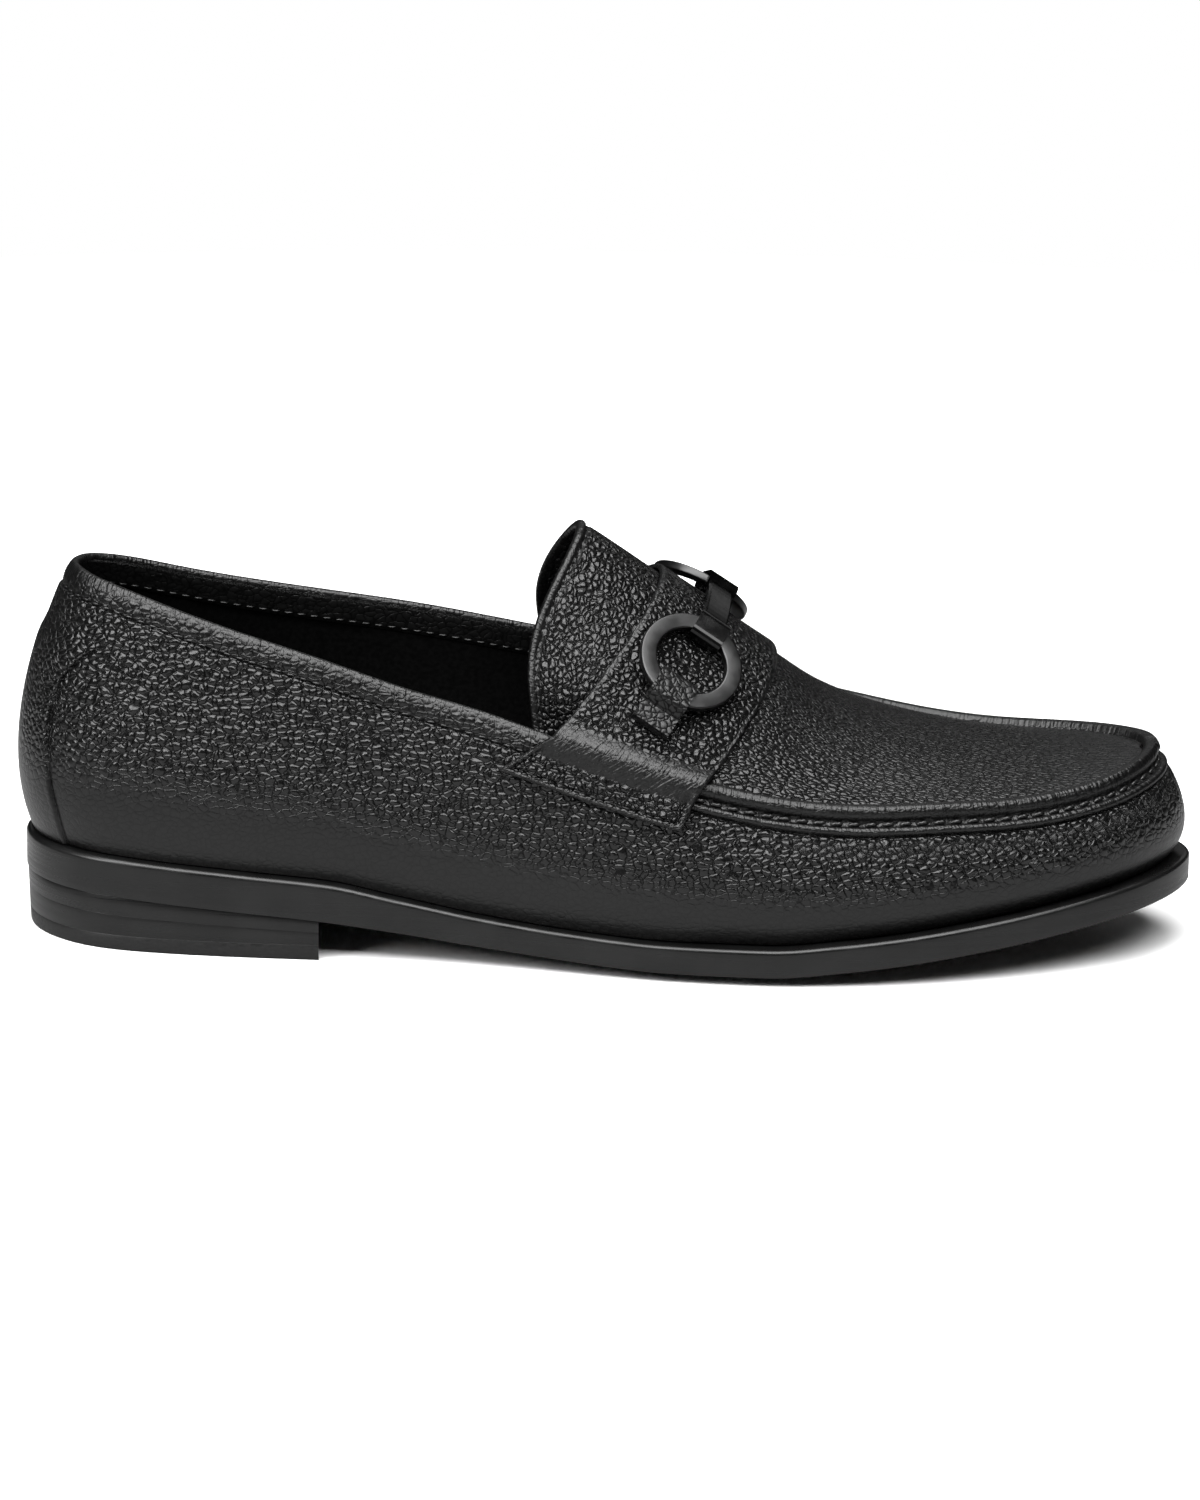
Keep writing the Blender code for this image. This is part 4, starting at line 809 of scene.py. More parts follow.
def apron_surface(rows, seam, seam_around):
    """Grids of the apron's outside, from the lateral to the medial seam, with the distance from the seam."""
    table = np.array(APRON_PROFILE) * MM
    base = []
    for row in rows:
        curve, length = instep_curve(row)
        near = table[:, 0] * min(1.0, length / (4 * table[-1, 0]))
        inner = np.linspace(near[-1], length - near[-1], APRON_MIDDLE_POINTS + 2)[1:-1]
        base.append([curve(d) for d in np.concatenate([near, inner, length - near[::-1]])])
    base = np.array(base)
    away, nearest = seam_distances(base, seam)
    seam_shares = np.array([seam_share(row) for row in rows])[:, None]
    lift = np.interp(away, table[:, 0], table[:, 1]) * seam_shares
    along = np.interp(nearest, np.arange(len(seam)), seam_around)
    flow = np.stack([along, -away, np.zeros_like(away)], -1)
    band = (away < APRON_BAND) * seam_shares
    toe = np.array([1 - 0.6 * smooth_step((row - 14.5) / 4.5) for row in rows])[:, None]
    return base, lift, flow, toe * (1 - 0.9 * band), band, away, nearest


def facing_up(normals, sample, wanted):
    """The normals, turned so that one of them points the wanted way."""
    return normals if float(normals[sample] @ np.asarray(wanted)) > 0 else -normals


def build_upper(finishes):
    """The upper in one closed body: wall with collar, seam and back piece, apron, rolled rim and lining."""
    columns, around, tip, base, lift, flow, grain, smooth = wall_surface()
    normals = facing_up(grid_normals(base, closed=True), (0, 40), (-1.0, 0.0, 0.0))
    starts = THROAT_ROW - PLAIN_STEP / 2
    lateral = [i for i, one in enumerate(columns) if one[0] < 0 and one[2] == "plain" and one[1] > starts]
    rows = [columns[i][1] for i in lateral]
    where = {(side, place): i for i, (side, place, kind, _) in enumerate(columns) if kind == "plain"}
    medial = [where.get((1, row), tip) for row in rows]
    seam_columns = lateral + medial[::-1][1:]
    apron = apron_surface(rows, base[seam_columns, 0], around[seam_columns])
    arch, arch_lift, arch_flow, arch_grain, arch_smooth, away, nearest = apron
    arch_normals = facing_up(grid_normals(arch, closed=False), (4, arch.shape[1] // 2), (0.0, 0.0, 1.0))
    arch_normals[-1, :] = arch_normals[-2, :]
    for line, pick in ((lateral, 0), (medial, -1)):
        for k, i in enumerate(line):
            joint = unit(normals[i, 0] + arch_normals[k, pick] * seam_share(rows[k]))
            normals[i, 0] = joint
            for step in range(1, JOINT_STEPS):
                share = 1 - step / JOINT_STEPS
                if seam_share(rows[k]) > 0:
                    normals[i, step] = unit(normals[i, step] * (1 - share) + joint * share)
    joints = normals[seam_columns, 0]
    nearest_joint = points_at(nearest, np.arange(len(joints)), joints)
    share = np.clip(1 - away / APRON_BAND, 0, 1)[..., None]
    arch_normals = unit(arch_normals * (1 - share) + nearest_joint * share)
    normals[:, -1, 2] = 0.0
    normals[:, -1] = unit(normals[:, -1])
    outside = base + normals * lift[..., None]
    arch_outside = arch + arch_normals * arch_lift[..., None]
    for k, (i, j) in enumerate(zip(lateral, medial)):
        arch_outside[k, 0], arch_outside[k, -1] = outside[i, 0], outside[j, 0]
    skin = Skin()
    wall = skin.grid(outside, flow, grain, smooth)
    skin.cover(wall, closed=True, slot=0)
    cover = skin.grid(arch_outside, arch_flow, arch_grain, arch_smooth)
    skin.cover(cover, slot=1)
    collar = list(range(where[(1, rows[0])], len(columns))) + list(range(0, where[(-1, rows[0])] + 1))
    add_inside(skin, wall, cover, columns, around, normals, collar, lateral, medial, arch, arch_normals)
    return skin.build("loafer_upper", finishes)


def add_inside(skin, wall, cover, columns, around, normals, collar, lateral, medial, arch, arch_normals):
    """The inside of the rim, the lining of the wall and of the apron, and the edges that close the body."""
    rim_table = np.array(RIM_PROFILE) * MM
    top_places = np.array(TOP_PROFILE)[:, 0] * MM
    picks = [int(np.searchsorted(top_places, distance * MM)) for distance in INSIDE_DISTANCES]
    picks += [len(TOP_PROFILE) - 1 + int(share * LOWER_ROWS) for share in INSIDE_SHARES]
    rim, lining = [], []
    for i, (side, place, kind, _) in enumerate(columns):
        reference = min(along_loop(place, kind, 0.9), LAST_ROW)
        curve, length = wall_curve(loop_place(side, reference))
        top = normals[i, 0] if i in (lateral[0], medial[0]) else normals[i, 3]
        seam = seam_share(reference)
        depths = rim_table[:, 1] * (1 - seam) - WALL * seam
        rim.append([curve(d) + top * z for d, z in zip(rim_table[:, 0], depths)])
        last = INSIDE_DISTANCES[-1] * MM
        distances = [d * MM for d in INSIDE_DISTANCES] + [last + (length - last) * s for s in INSIDE_SHARES]
        facing = [FACING_STEP * float(d < FACING_DEPTH * MM) * (1 - seam) for d in distances]
        lining.append([curve(d) - normals[i, k] * (WALL + f) for d, k, f in zip(distances, picks, facing)])
    rim, lining = np.array(rim), np.array(lining)
    edge_values = np.ones(rim.shape[:2])
    rim_flow = np.array([[(a, -d, 0.0) for d in rim_table[:, 0]] for a in around])
    rim_numbers = skin.grid(rim, rim_flow, 0.2 * edge_values, edge_values)
    lining_numbers = skin.grid(lining, None, 0.25 * np.ones(lining.shape[:2]))
    skin.strip(wall[collar, 0], rim_numbers[collar, 0], slot=0)
    skin.cover(rim_numbers[collar], slot=0)
    skin.strip(rim_numbers[collar, -1], lining_numbers[collar, 0], slot=0)
    facing_count = sum(d < FACING_DEPTH for d in INSIDE_DISTANCES)
    skin.cover(lining_numbers[:, :facing_count], closed=True, slot=0)
    skin.cover(lining_numbers[:, facing_count - 1:], closed=True, slot=2)
    skin.strip(wall[:, -1], lining_numbers[:, -1], closed=True, slot=2)
    inner = arch - arch_normals * WALL
    for k, (i, j) in enumerate(zip(lateral, medial)):
        inner[k, 0], inner[k, -1] = lining[i, 0], lining[j, 0]
    pick = list(range(0, arch.shape[1], 4))
    if pick[-1] != arch.shape[1] - 1:
        pick.append(arch.shape[1] - 1)
    under = skin.grid(inner[:, pick])
    skin.cover(under, slot=2)
    throat = skin.grid(inner[:1, :])[0]
    skin.strip(cover[0, :], throat, slot=1)


def hollowed(rows, row, hollow):
    """How far a row of the sole is pushed back by the hollow at the last of its rows."""
    return hollow * (row / rows[-1]) ** 6


def sole_line(row, inset, height, push, shares):
    """Points across the plan of the sole, between both sides of its inset edge."""
    left = edge_point(loop_place(-1, row), inset)
    right = edge_point(loop_place(1, row), inset)
    line = []
    for share in shares:
        x, y = (left + right) / 2 + (right - left) / 2 * share
        x = x - push * (1 - share * share)
        line.append((x, y, height(x, y)))
    return line


SOLE_SHARES = np.sin(np.linspace(-math.pi / 2, math.pi / 2, 13))


def sole_rim(rows, inset, height, hollow):
    """The closed outline of one level: across at the heel, forward, back across, and back to the heel."""
    first = sole_line(rows[0], inset, height, 0.0, SOLE_SHARES)
    last = sole_line(rows[-1], inset, height, hollow, SOLE_SHARES)
    pairs = [sole_line(row, inset, height, hollowed(rows, row, hollow), (-1.0, 1.0)) for row in rows[1:-1]]
    return np.array(first + [pair[1] for pair in pairs] + last[::-1] + [pair[0] for pair in pairs[::-1]])


def layered(name, levels, rows, finishes, hollow=0.0, sharp_degrees=40.0):
    """A closed body whose levels share one plan, from the bottom up."""
    skin = Skin()
    ends = []
    for inset, height in (levels[0], levels[-1]):
        grid = [sole_line(row, inset, height, hollowed(rows, row, hollow), SOLE_SHARES) for row in rows]
        ends.append(skin.grid(grid))
        skin.cover(ends[-1])
    rims = [
        np.concatenate([numbers[0, :], numbers[1:-1, -1], numbers[-1, ::-1], numbers[-2:0:-1, 0]])
        for numbers in ends
    ]
    middle = [skin.grid(sole_rim(rows, inset, height, hollow)[None])[0] for inset, height in levels[1:-1]]
    steps = [rims[0]] + middle + [rims[1]]
    for low, high in zip(steps, steps[1:]):
        skin.strip(low, high, closed=True)
    return skin.build(name, finishes, sharp_degrees)


def fine_rows(last, step=SOLE_STEP):
    """Rows of the section table from the heel to a last one."""
    return list(np.arange(0, last - step / 2, step)) + [float(last)]


def build_outsole(finish):
    """The sole layer with its heel rand: a rounded top edge and an eased lower edge."""
    def under(x, y):
        return under_height(x) + cup(x, y)

    faces = {"under": under, "seat": seat_height}

    def level(face, height):
        return lambda x, y: faces[face](x, y) + height * MM

    levels = [(inset * MM, level(face, height)) for inset, face, height in SOLE_EDGE_PROFILE]
    return layered("sole_layer", levels, fine_rows(LAST_ROW), [finish])


def heel_last_row():
    """The row of the section table at the breast of the heel."""
    return float(np.interp(BREAST_ALONG / SOLE_LENGTH, column("along"), list(ROWS)))


def lift_inset():
    """How far the heel stands in from the sole edge at the joint above its top lift."""
    return HEEL_INSET + HEEL_TAPER * (1 - (TOP_LIFT + GAP) / HEEL_RISE)


def build_heel_stack(finish):
    """The stacked heel: two layers with a fine joint between them."""
    low, gap = TOP_LIFT + 0.02 * MM, 0.01 * MM

    def at(part, extra=0.0):
        return lambda x, y: low + (under_height(x) - gap - low) * part + extra

    lower = lift_inset()
    inset = lower + (HEEL_INSET - lower) * HEEL_JOINT
    levels = [
        (lower + 0.05 * MM, at(0)), (lower, at(0, 0.08 * MM)),
        (inset, at(HEEL_JOINT, -0.10 * MM)), (inset + HEEL_JOINT_DEPTH, at(HEEL_JOINT)),
        (inset, at(HEEL_JOINT, 0.10 * MM)), (HEEL_INSET, at(1, -0.08 * MM)), (HEEL_INSET + 0.05 * MM, at(1)),
    ]
    return layered("heel_layers", levels, fine_rows(heel_last_row()), [finish], BREAST_HOLLOW)


def build_top_lift(finish):
    """The rubber top lift under the heel."""
    lower, upper = HEEL_INSET + HEEL_TAPER, lift_inset()

    def at(height):
        return lambda x, y: height

    levels = [
        (lower + 0.45 * MM, at(0.0)), (lower + 0.12 * MM, at(0.12 * MM)), (lower, at(0.45 * MM)),
        (upper, at(TOP_LIFT - 0.08 * MM)), (upper + 0.05 * MM, at(TOP_LIFT)),
    ]
    return layered("heel_top_lift", levels, fine_rows(heel_last_row()), [finish], BREAST_HOLLOW)


def build_sock(finish):
    """The padded sock over the insole, a little crowned."""
    base = 1.6 * GAP

    def at(amount):
        return lambda x, y: seat_height(x, y) + base + amount

    edge = FEATHER_INSET_HEEL + WALL + GAP
    levels = [(edge + inset * MM, at(height * MM)) for inset, height in SOCK_PROFILE]
    return layered("sock_liner", levels, fine_rows(LAST_ROW, SOCK_STEP), [finish])


def tongue_point(row, share):
    """A point of the tongue's plain form. Under the strap it lies close to it, down to the collar."""
    snug = float(smooth_step((row - TONGUE_TOP_ROW) / (STRAP_REAR_ROW - TONGUE_TOP_ROW)))
    return arch_points(row, [math.pi * share], TONGUE_TUCK, TONGUE_DROP, snug)[0]


def tongue_line(a, place):
    """A line of the tongue from its free edge forward: points, and the share of the way at each."""
    side = abs(math.cos(math.pi * a)) ** TONGUE_EDGE_POWER
    first = TONGUE_TOP_ROW + (TONGUE_SIDE_ROW - TONGUE_TOP_ROW) * side
    shares = np.linspace(0, 1, TONGUE_SAMPLES)
    points = [tongue_point(first + (TONGUE_END_ROW - first) * p, a) for p in shares]
    length = lengths_along(points)
    beyond = place[-1] + (length[-1] - place[-1]) * np.linspace(0, 1, TONGUE_ROWS)[1:]
    distances = np.concatenate([place, beyond])
    return points_at(distances, length, np.array(points)), np.interp(distances, length, shares), distances


def tongue_surface():
    """Grids of the tongue's outside: points, normals, dive under the apron, distance from its free edge."""
    across = np.concatenate([[0.0, 0.006], np.linspace(0.02, 0.98, TONGUE_COLUMNS), [0.994, 1.0]])
    place = np.array(TONGUE_PROFILE)[:, 0] * MM
    lines = [tongue_line(a, place) for a in across]
    grid = np.array([line for line, _, _ in lines]).transpose(1, 0, 2)
    shares = np.array([share for _, share, _ in lines]).T
    distances = np.array([distance for _, _, distance in lines]).T
    normals = facing_up(grid_normals(grid, closed=False), (20, grid.shape[1] // 2), (0.0, 0.0, 1.0))
    rows = TONGUE_TOP_ROW + (TONGUE_END_ROW - TONGUE_TOP_ROW) * shares
    under = smooth_step((rows - TONGUE_DIVE_ROW) / (THROAT_ROW - 0.15 - TONGUE_DIVE_ROW))
    return grid, normals, under * (WALL + 2 * GAP) + GAP, distances


def build_tongue(finish):
    """The tongue with the rolled piping along its free edge."""
    grid, normals, dive, distances = tongue_surface()
    table = np.array(TONGUE_PROFILE) * MM
    height = np.interp(distances, table[:, 0], table[:, 1])
    side_drop = np.zeros(grid.shape[1])
    side_drop[[0, -1]] = TONGUE_SIDE_DROP
    outer = grid + normals * (height - dive - side_drop)[..., None]
    under_table = np.array(TONGUE_UNDER) * MM
    under = np.interp(distances, under_table[:, 0], under_table[:, 1])
    under = under + TONGUE_UNDER_EASE * smooth_step(distances / (3 * MM))
    inner = grid + normals * (under - dive)[..., None]
    along = np.broadcast_to(lengths_along(grid[0]), distances.shape)
    flow = np.stack([along, distances, np.zeros_like(distances)], -1)
    piping = (distances < PIPING_ENDS) * 1.0
    border = (distances >= PIPING_ENDS) & (distances < PIPING_BORDER_ENDS)
    grain = 1.0 - 0.85 * piping - 0.35 * border
    skin = Skin()
    skin.slab(outer, inner, flow=flow, grain=grain, smooth=piping)
    return skin.build("tongue_leather", [finish], 60.0)


def strap_row(share, down):
    """The row that the strap follows at a share of its width, and a share of the way down its tab."""
    on_top = STRAP_REAR_ROW + (STRAP_FRONT_ROW - STRAP_REAR_ROW) * share
    on_tab = TAB_REAR_ROW + (TAB_FRONT_ROW - TAB_REAR_ROW) * share
    return on_top + (on_tab - on_top) * down


# Distances at which the strap is sampled: from its edges, along its tabs, and beside its roll
EDGE_PLACES = np.array((0.0, 0.06, 0.2, 0.42, 0.7, 1.0, 1.35, 1.7, 2.1, 2.6)) * MM
TAB_PLACES = np.concatenate([STRAP_TAB - EDGE_PLACES, np.arange(10.6, 0.2, -0.33) * MM])
ARCH_FINE = np.arange(0.33, 7.2, 0.33) * MM
ARCH_MIDDLE = 64
STRAP_MIDDLE = 40

# The relief of the strap: place from its edge, half width and height of the lip and of the channel, and
# the same for the groove of each row of stitches
LIP = (1.0 * MM, 0.48 * MM, 0.34 * MM)
CHANNEL = (2.0 * MM, 0.36 * MM, 0.40 * MM)
GROOVE_HALF = 0.42 * MM
GROOVE_DEPTH = 0.34 * MM
STRAP_ROUNDING = 0.9 * MM
ROLL_SMOOTH = 5.2 * MM


def tab_lift(distance):
    """How far a tab stands off the wall, at a distance below the top line."""
    roll = bump(distance, STRAP_ROLL_HALF, STRAP_ROLL)
    return roll + QUARTER_STEP * float(smooth_step(distance / COLLAR_BAND))


def tab_line(share, side):
    """A line up one tab: points, lift off the wall, and place below the top line."""
    rows = [strap_row(share, distance / STRAP_TAB) for distance in TAB_PLACES]
    points = [wall_curve(loop_place(side, row))[0](d) for row, d in zip(rows, TAB_PLACES)]
    return points, [tab_lift(distance) for distance in TAB_PLACES], list(TAB_PLACES)


def strap_line(share):
    """A line of the strap from tab to tab: points, lift off the upper, and place below the top line."""
    curve, length = instep_curve(strap_row(share, 0.0))
    middle = np.linspace(ARCH_FINE[-1], length - ARCH_FINE[-1], ARCH_MIDDLE + 2)[1:-1]
    over = np.concatenate([[0.0], ARCH_FINE, middle, length - ARCH_FINE[::-1], [length]])
    near = np.minimum(over, length - over)
    arch = [curve(d) for d in over], [bump(d, STRAP_ROLL_HALF, STRAP_ROLL) for d in near], list(-near)
    return [up + top + down[::-1] for up, top, down in zip(tab_line(share, -1), arch, tab_line(share, 1))]


def ridge(distance, at, half, height):
    """A soft ridge at a distance."""
    return height * np.exp(-((distance - at) / half) ** 2)


def rounded_drop(distance, radius):
    """How far a face falls towards an edge that is rounded to a radius."""
    inside = np.clip(radius - distance, 0, radius)
    return radius - np.sqrt(np.maximum(radius * radius - inside * inside, 0))


def strap_surface():
    """Grids of the strap: points, lift, normals, place below the top line, and distances across it."""
    edge = EDGE_PLACES / STRAP_WIDTH
    shares = np.concatenate([edge, np.linspace(0.08, 0.92, STRAP_MIDDLE), 1 - edge[::-1]])
    lines = [strap_line(share) for share in shares]
    base = np.array([points for points, _, _ in lines])
    lift = np.array([lifts for _, lifts, _ in lines]) + GAP + 0.1 * MM
    places = np.array([line_places for _, _, line_places in lines])
    normals = facing_up(grid_normals(base, closed=False), (20, base.shape[1] // 2), (0.0, 0.0, 1.0))
    widths = np.linalg.norm(np.diff(base, axis=0), axis=2)
    across = np.concatenate([np.zeros((1, base.shape[1])), np.cumsum(widths, axis=0)])
    from_side = np.minimum(across, across[-1] - across)
    return base, lift, normals, places, across, from_side


def strap_height(places, from_side):
    """The thickness of the strap: rounded edges, a lip round each tab and a channel inside it."""
    from_end = STRAP_TAB - places
    edge = np.minimum(from_side, np.maximum(from_end, 0))
    on_tab = smooth_step((places - 2.0 * MM) / (2.0 * MM))
    border = ridge(edge, *LIP) - ridge(edge, *CHANNEL)
    rows = sum(ridge(places, at, GROOVE_HALF, GROOVE_DEPTH) for at in TAB_STITCHES)
    inside = smooth_step((edge - 1.8 * MM) / (0.5 * MM))
    rounding = rounded_drop(edge, STRAP_ROUNDING) * 0.85
    return STRAP_THICKNESS - rounding + on_tab * border - rows * on_tab * inside


def build_strap(finish):
    """The saddle strap over the instep, with a tab down each wall."""
    base, lift, normals, places, across, from_side = strap_surface()
    inner = base + normals * lift[..., None]
    outer = base + normals * (lift + strap_height(places, from_side))[..., None]
    flow = np.stack([across, places, np.zeros_like(places)], -1)
    below = smooth_step((places - ROLL_SMOOTH) / (1.0 * MM))
    roll = smooth_step((places + ROLL_SMOOTH) / (1.2 * MM)) * (1 - below)
    edge = np.minimum(from_side, np.maximum(STRAP_TAB - places, 0))
    rim = 1 - smooth_step((edge - 1.2 * MM) / (0.5 * MM))
    smooth = np.maximum(roll, rim * 0.8)
    grain = 1 - 0.85 * smooth
    skin = Skin()
    skin.slab(outer, inner, flow=flow, grain=grain, smooth=smooth)
    return skin.build("strap_leather", [finish], 60.0)


def ring_axes(node):
    """The middle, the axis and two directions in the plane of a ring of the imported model."""
    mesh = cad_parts[node].data
    points = np.empty(len(mesh.vertices) * 3)
    mesh.vertices.foreach_get("co", points)
    points = points.reshape(-1, 3)
    middle = points.mean(0)
    _, _, axes = np.linalg.svd(points - middle, full_matrices=False)
    normal = axes[2] if axes[2][2] > 0 else -axes[2]
    forward = unit(np.cross(np.cross(normal, (1.0, 0.0, 0.0)), normal))
    return middle, normal, forward, np.cross(normal, forward)


def build_ring(name, node, finish):
    """A flat ring with finely rounded edges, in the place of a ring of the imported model."""
    middle, normal, forward, sideways = ring_axes(node)
    outline = []
    corners = ((1, 1, 0), (-1, 1, 90), (-1, -1, 180), (1, -1, 270))
    for sx, sz, start in corners:
        for k in range(RING_EDGE_STEPS + 1):
            angle = math.radians(start + 90 * k / RING_EDGE_STEPS)
            x = sx * (RING_BAND / 2 - RING_EDGE) + RING_EDGE * math.cos(angle)
            z = sz * (RING_THICKNESS / 2 - RING_EDGE) + RING_EDGE * math.sin(angle)
            outline.append((x, z))
    grid = []
    for k in range(RING_TURNS):
        angle = 2 * math.pi * k / RING_TURNS
        out = math.cos(angle) * forward + math.sin(angle) * sideways
        grid.append([middle + WORK_ORIGIN + out * (RING_RADIUS + x) + normal * z for x, z in outline])
    skin = Skin()
    numbers = skin.grid(grid)
    numbers = np.concatenate([numbers, numbers[:, :1]], 1)
    skin.cover(numbers, closed=True)
    return skin.build(name, [finish], 25.0)


def add_stitches(skin, line, outward, kind):
    """A row of stitches along a line of points: short thick threads with ends that go into the leather."""
    pitch, length, width = (value * MM for value in THREADS[kind][:3])
    slant = math.tan(math.radians(THREADS[kind][3]))
    line = np.asarray(line, float)
    outward = np.asarray(outward, float)
    total = lengths_along(line)
    count = int(total[-1] / pitch)
    if count < 1:
        return

    spare = (total[-1] - count * pitch) / 2
    for i in range(count):
        middle_at = spare + (i + 0.5) * pitch
        up = unit(points_at(middle_at, total, outward))
        ahead = points_at(min(middle_at + length / 2, total[-1]), total, line)
        behind = points_at(max(middle_at - length / 2, 0.0), total, line)
        side = unit(np.cross(up, unit(ahead - behind)))
        grid = []
        for t in np.linspace(-1, 1, STITCH_RINGS):
            point = points_at(middle_at + t * length / 2, total, line)
            sunk = STITCH_SINK + STITCH_END_SINK * abs(t) ** 3
            point = point + side * t * length / 2 * slant - up * sunk
            swell = math.sqrt(max(1 - abs(t) ** STITCH_FULLNESS, 0.02))
            grid.append([
                point
                + side * math.cos(a) * width / 2 * swell
                + up * (math.sin(a) * width * STITCH_FLATNESS * swell + STITCH_LIFT)
                for a in np.linspace(0, 2 * math.pi, STITCH_SIDES + 1)[:-1]
            ])
        numbers = skin.grid(grid)
        ring = np.concatenate([numbers, numbers[:, :1]], 1)
        skin.cover(ring)
        skin.cap(numbers[0])
        skin.cap(numbers[-1][::-1])


def wall_stitch_line(side, first_row, last_row, distance, height, count=260):
    """Points and outward directions along the wall at a distance below its top line."""
    rows = np.linspace(first_row, last_row, count)
    curves = [wall_curve(loop_place(side, row))[0] for row in rows]
    lines = np.array([[curve(distance + d) for d in (-0.4 * MM, 0.0, 0.4 * MM)] for curve in curves])
    normals = grid_normals(lines, closed=False)[:, 1]
    middle, sample = lines[:, 1].mean(0), lines[count // 2, 1]
    if normals[count // 2] @ (sample - np.array([middle[0], 0.0, sample[2]])) < 0:
        normals = -normals
    return lines[:, 1] + normals * height, normals


def join_lines(first, second):
    """Two stitch lines that end at one place as a single one."""
    return np.concatenate([first[0], second[0][::-1][1:]]), np.concatenate([first[1], second[1][::-1][1:]])


def build_seam_stitches(finish):
    """The thread of the moccasin seam, from the strap round the toe to the strap."""
    skin = Skin()
    lateral, medial = (
        wall_stitch_line(side, SEAM_STITCH_ROW, LAST_ROW, SEAM_STITCH_AT, 0.0) for side in (-1, 1)
    )
    add_stitches(skin, *join_lines(lateral, medial), "seam")
    return skin.build("seam_stitches", [finish], 80.0)


def build_collar_stitches(finish):
    """The thread along the collar band, outside and inside."""
    skin = Skin()
    rows = ((COLLAR_STITCH_AT, COLLAR_STITCH_SUNK, 1), (LINING_STITCH_AT, LINING_STITCH_SUNK, -1))
    for distance, height, facing in rows:
        lateral, medial = (wall_stitch_line(side, STRAP_REAR_ROW, 0.0, distance, height) for side in (-1, 1))
        line, normals = join_lines(lateral, medial)
        add_stitches(skin, line, facing * normals, "collar")
    return skin.build("collar_stitches", [finish], 80.0)


def build_tab_stitches(finish):
    """Two rows of thread on each tab of the strap."""
    base, lift, normals, places, _, from_side = strap_surface()
    outer = base + normals * (lift + strap_height(places, from_side))[..., None]
    skin = Skin()
    half = base.shape[1] // 2
    for place in TAB_STITCHES:
        for part in (np.s_[:half], np.s_[half:]):
            line, facing = [], []
            for k in range(base.shape[0]):
                if from_side[k, 0] < 2.3 * MM:
                    continue
                nearest = int(np.argmin(np.abs(places[k][part] - place)))
                line.append(outer[k][part][nearest])
                facing.append(normals[k][part][nearest])
            add_stitches(skin, line, facing, "tab")
    return skin.build("tab_stitches", [finish], 80.0)


def build_tongue_stitches(finish):
    """The thread beside the piping of the tongue."""
    grid, normals, dive, _ = tongue_surface()
    k = int(np.argmin(np.abs(np.array(TONGUE_PROFILE)[:, 0] * MM - TONGUE_STITCH_AT)))
    line = grid[k] + normals[k] * (TONGUE_STITCH_SUNK - dive[k])[:, None]
    skin = Skin()
    add_stitches(skin, line[2:-2], normals[k][2:-2], "tongue")
    return skin.build("tongue_stitches", [finish], 80.0)


def new_material(name):
    """An empty material with its shader and its nodes."""
    made = bpy.data.materials.new(name)
    made.use_nodes = True
    tree = made.node_tree
    return made, tree, tree.nodes["Principled BSDF"]


def node(tree, kind, **settings):
    """A new node with some of its settings and inputs."""
    made = tree.nodes.new("ShaderNode" + kind)
    for key, value in settings.items():
        if key.startswith("in_"):
            made.inputs[key[3:].replace("_", " ")].default_value = value
        else:
            setattr(made, key, value)
    return made


def math_node(tree, operation, first, second):
    """A Math node whose two inputs are numbers or sockets."""
    made = node(tree, "Math", operation=operation)
    for index, value in enumerate((first, second)):
        if isinstance(value, (int, float)):
            made.inputs[index].default_value = value
        else:
            tree.links.new(value, made.inputs[index])
    return made.outputs[0]


def mapped(tree, source, scale, rotation=(0.0, 0.0, 0.0)):
    """Coordinates at another scale."""
    place = node(tree, "Mapping")
    place.inputs["Scale"].default_value = scale
    place.inputs["Rotation"].default_value = rotation
    tree.links.new(source, place.inputs["Vector"])
    return place.outputs["Vector"]


def ramp(tree, source, *stops):
    """A colour ramp over a value, from (place, grey) pairs."""
    made = node(tree, "ValToRGB")
    made.color_ramp.interpolation = "EASE"
    while len(made.color_ramp.elements) < len(stops):
        made.color_ramp.elements.new(0.5)
    for element, (place, grey) in zip(made.color_ramp.elements, stops):
        element.position = place
        element.color = (grey, grey, grey, 1.0)
    tree.links.new(source, made.inputs["Fac"])
    return made.outputs["Color"]


def attribute(tree, name, output):
    """A value stored on the points of the mesh."""
    return node(tree, "Attribute", attribute_name=name).outputs[output]


def texture(tree, kind, coordinates, **settings):
    """A texture laid over coordinates."""
    made = node(tree, "Tex" + kind, **settings)
    tree.links.new(coordinates, made.inputs["Vector"])
    return made


def warped(tree, coordinates, scale, amount):
    """Coordinates that wander a little, so that cells and lines aren't regular."""
    noise = texture(tree, "Noise", coordinates, in_Scale=scale, in_Detail=1.0)
    shift = node(tree, "VectorMath", operation="MULTIPLY_ADD")
    shift.inputs[1].default_value = (amount, amount, amount)
    tree.links.new(noise.outputs["Color"], shift.inputs[0])
    tree.links.new(coordinates, shift.inputs[2])
    return shift.outputs[0]


def emboss(tree, shader, height, strength=1.0, distance=1.0):
    """Gives a shader the relief of a height."""
    relief = node(tree, "Bump", in_Strength=strength, in_Distance=distance)
    tree.links.new(height, relief.inputs["Height"])
    tree.links.new(relief.outputs["Normal"], shader.inputs["Normal"])


def vary(tree, shader, label, source, low, high):
    """Lets an input of a shader run with a texture, between two pairs of place and value."""
    tree.links.new(ramp(tree, source, low, high), shader.inputs[label])


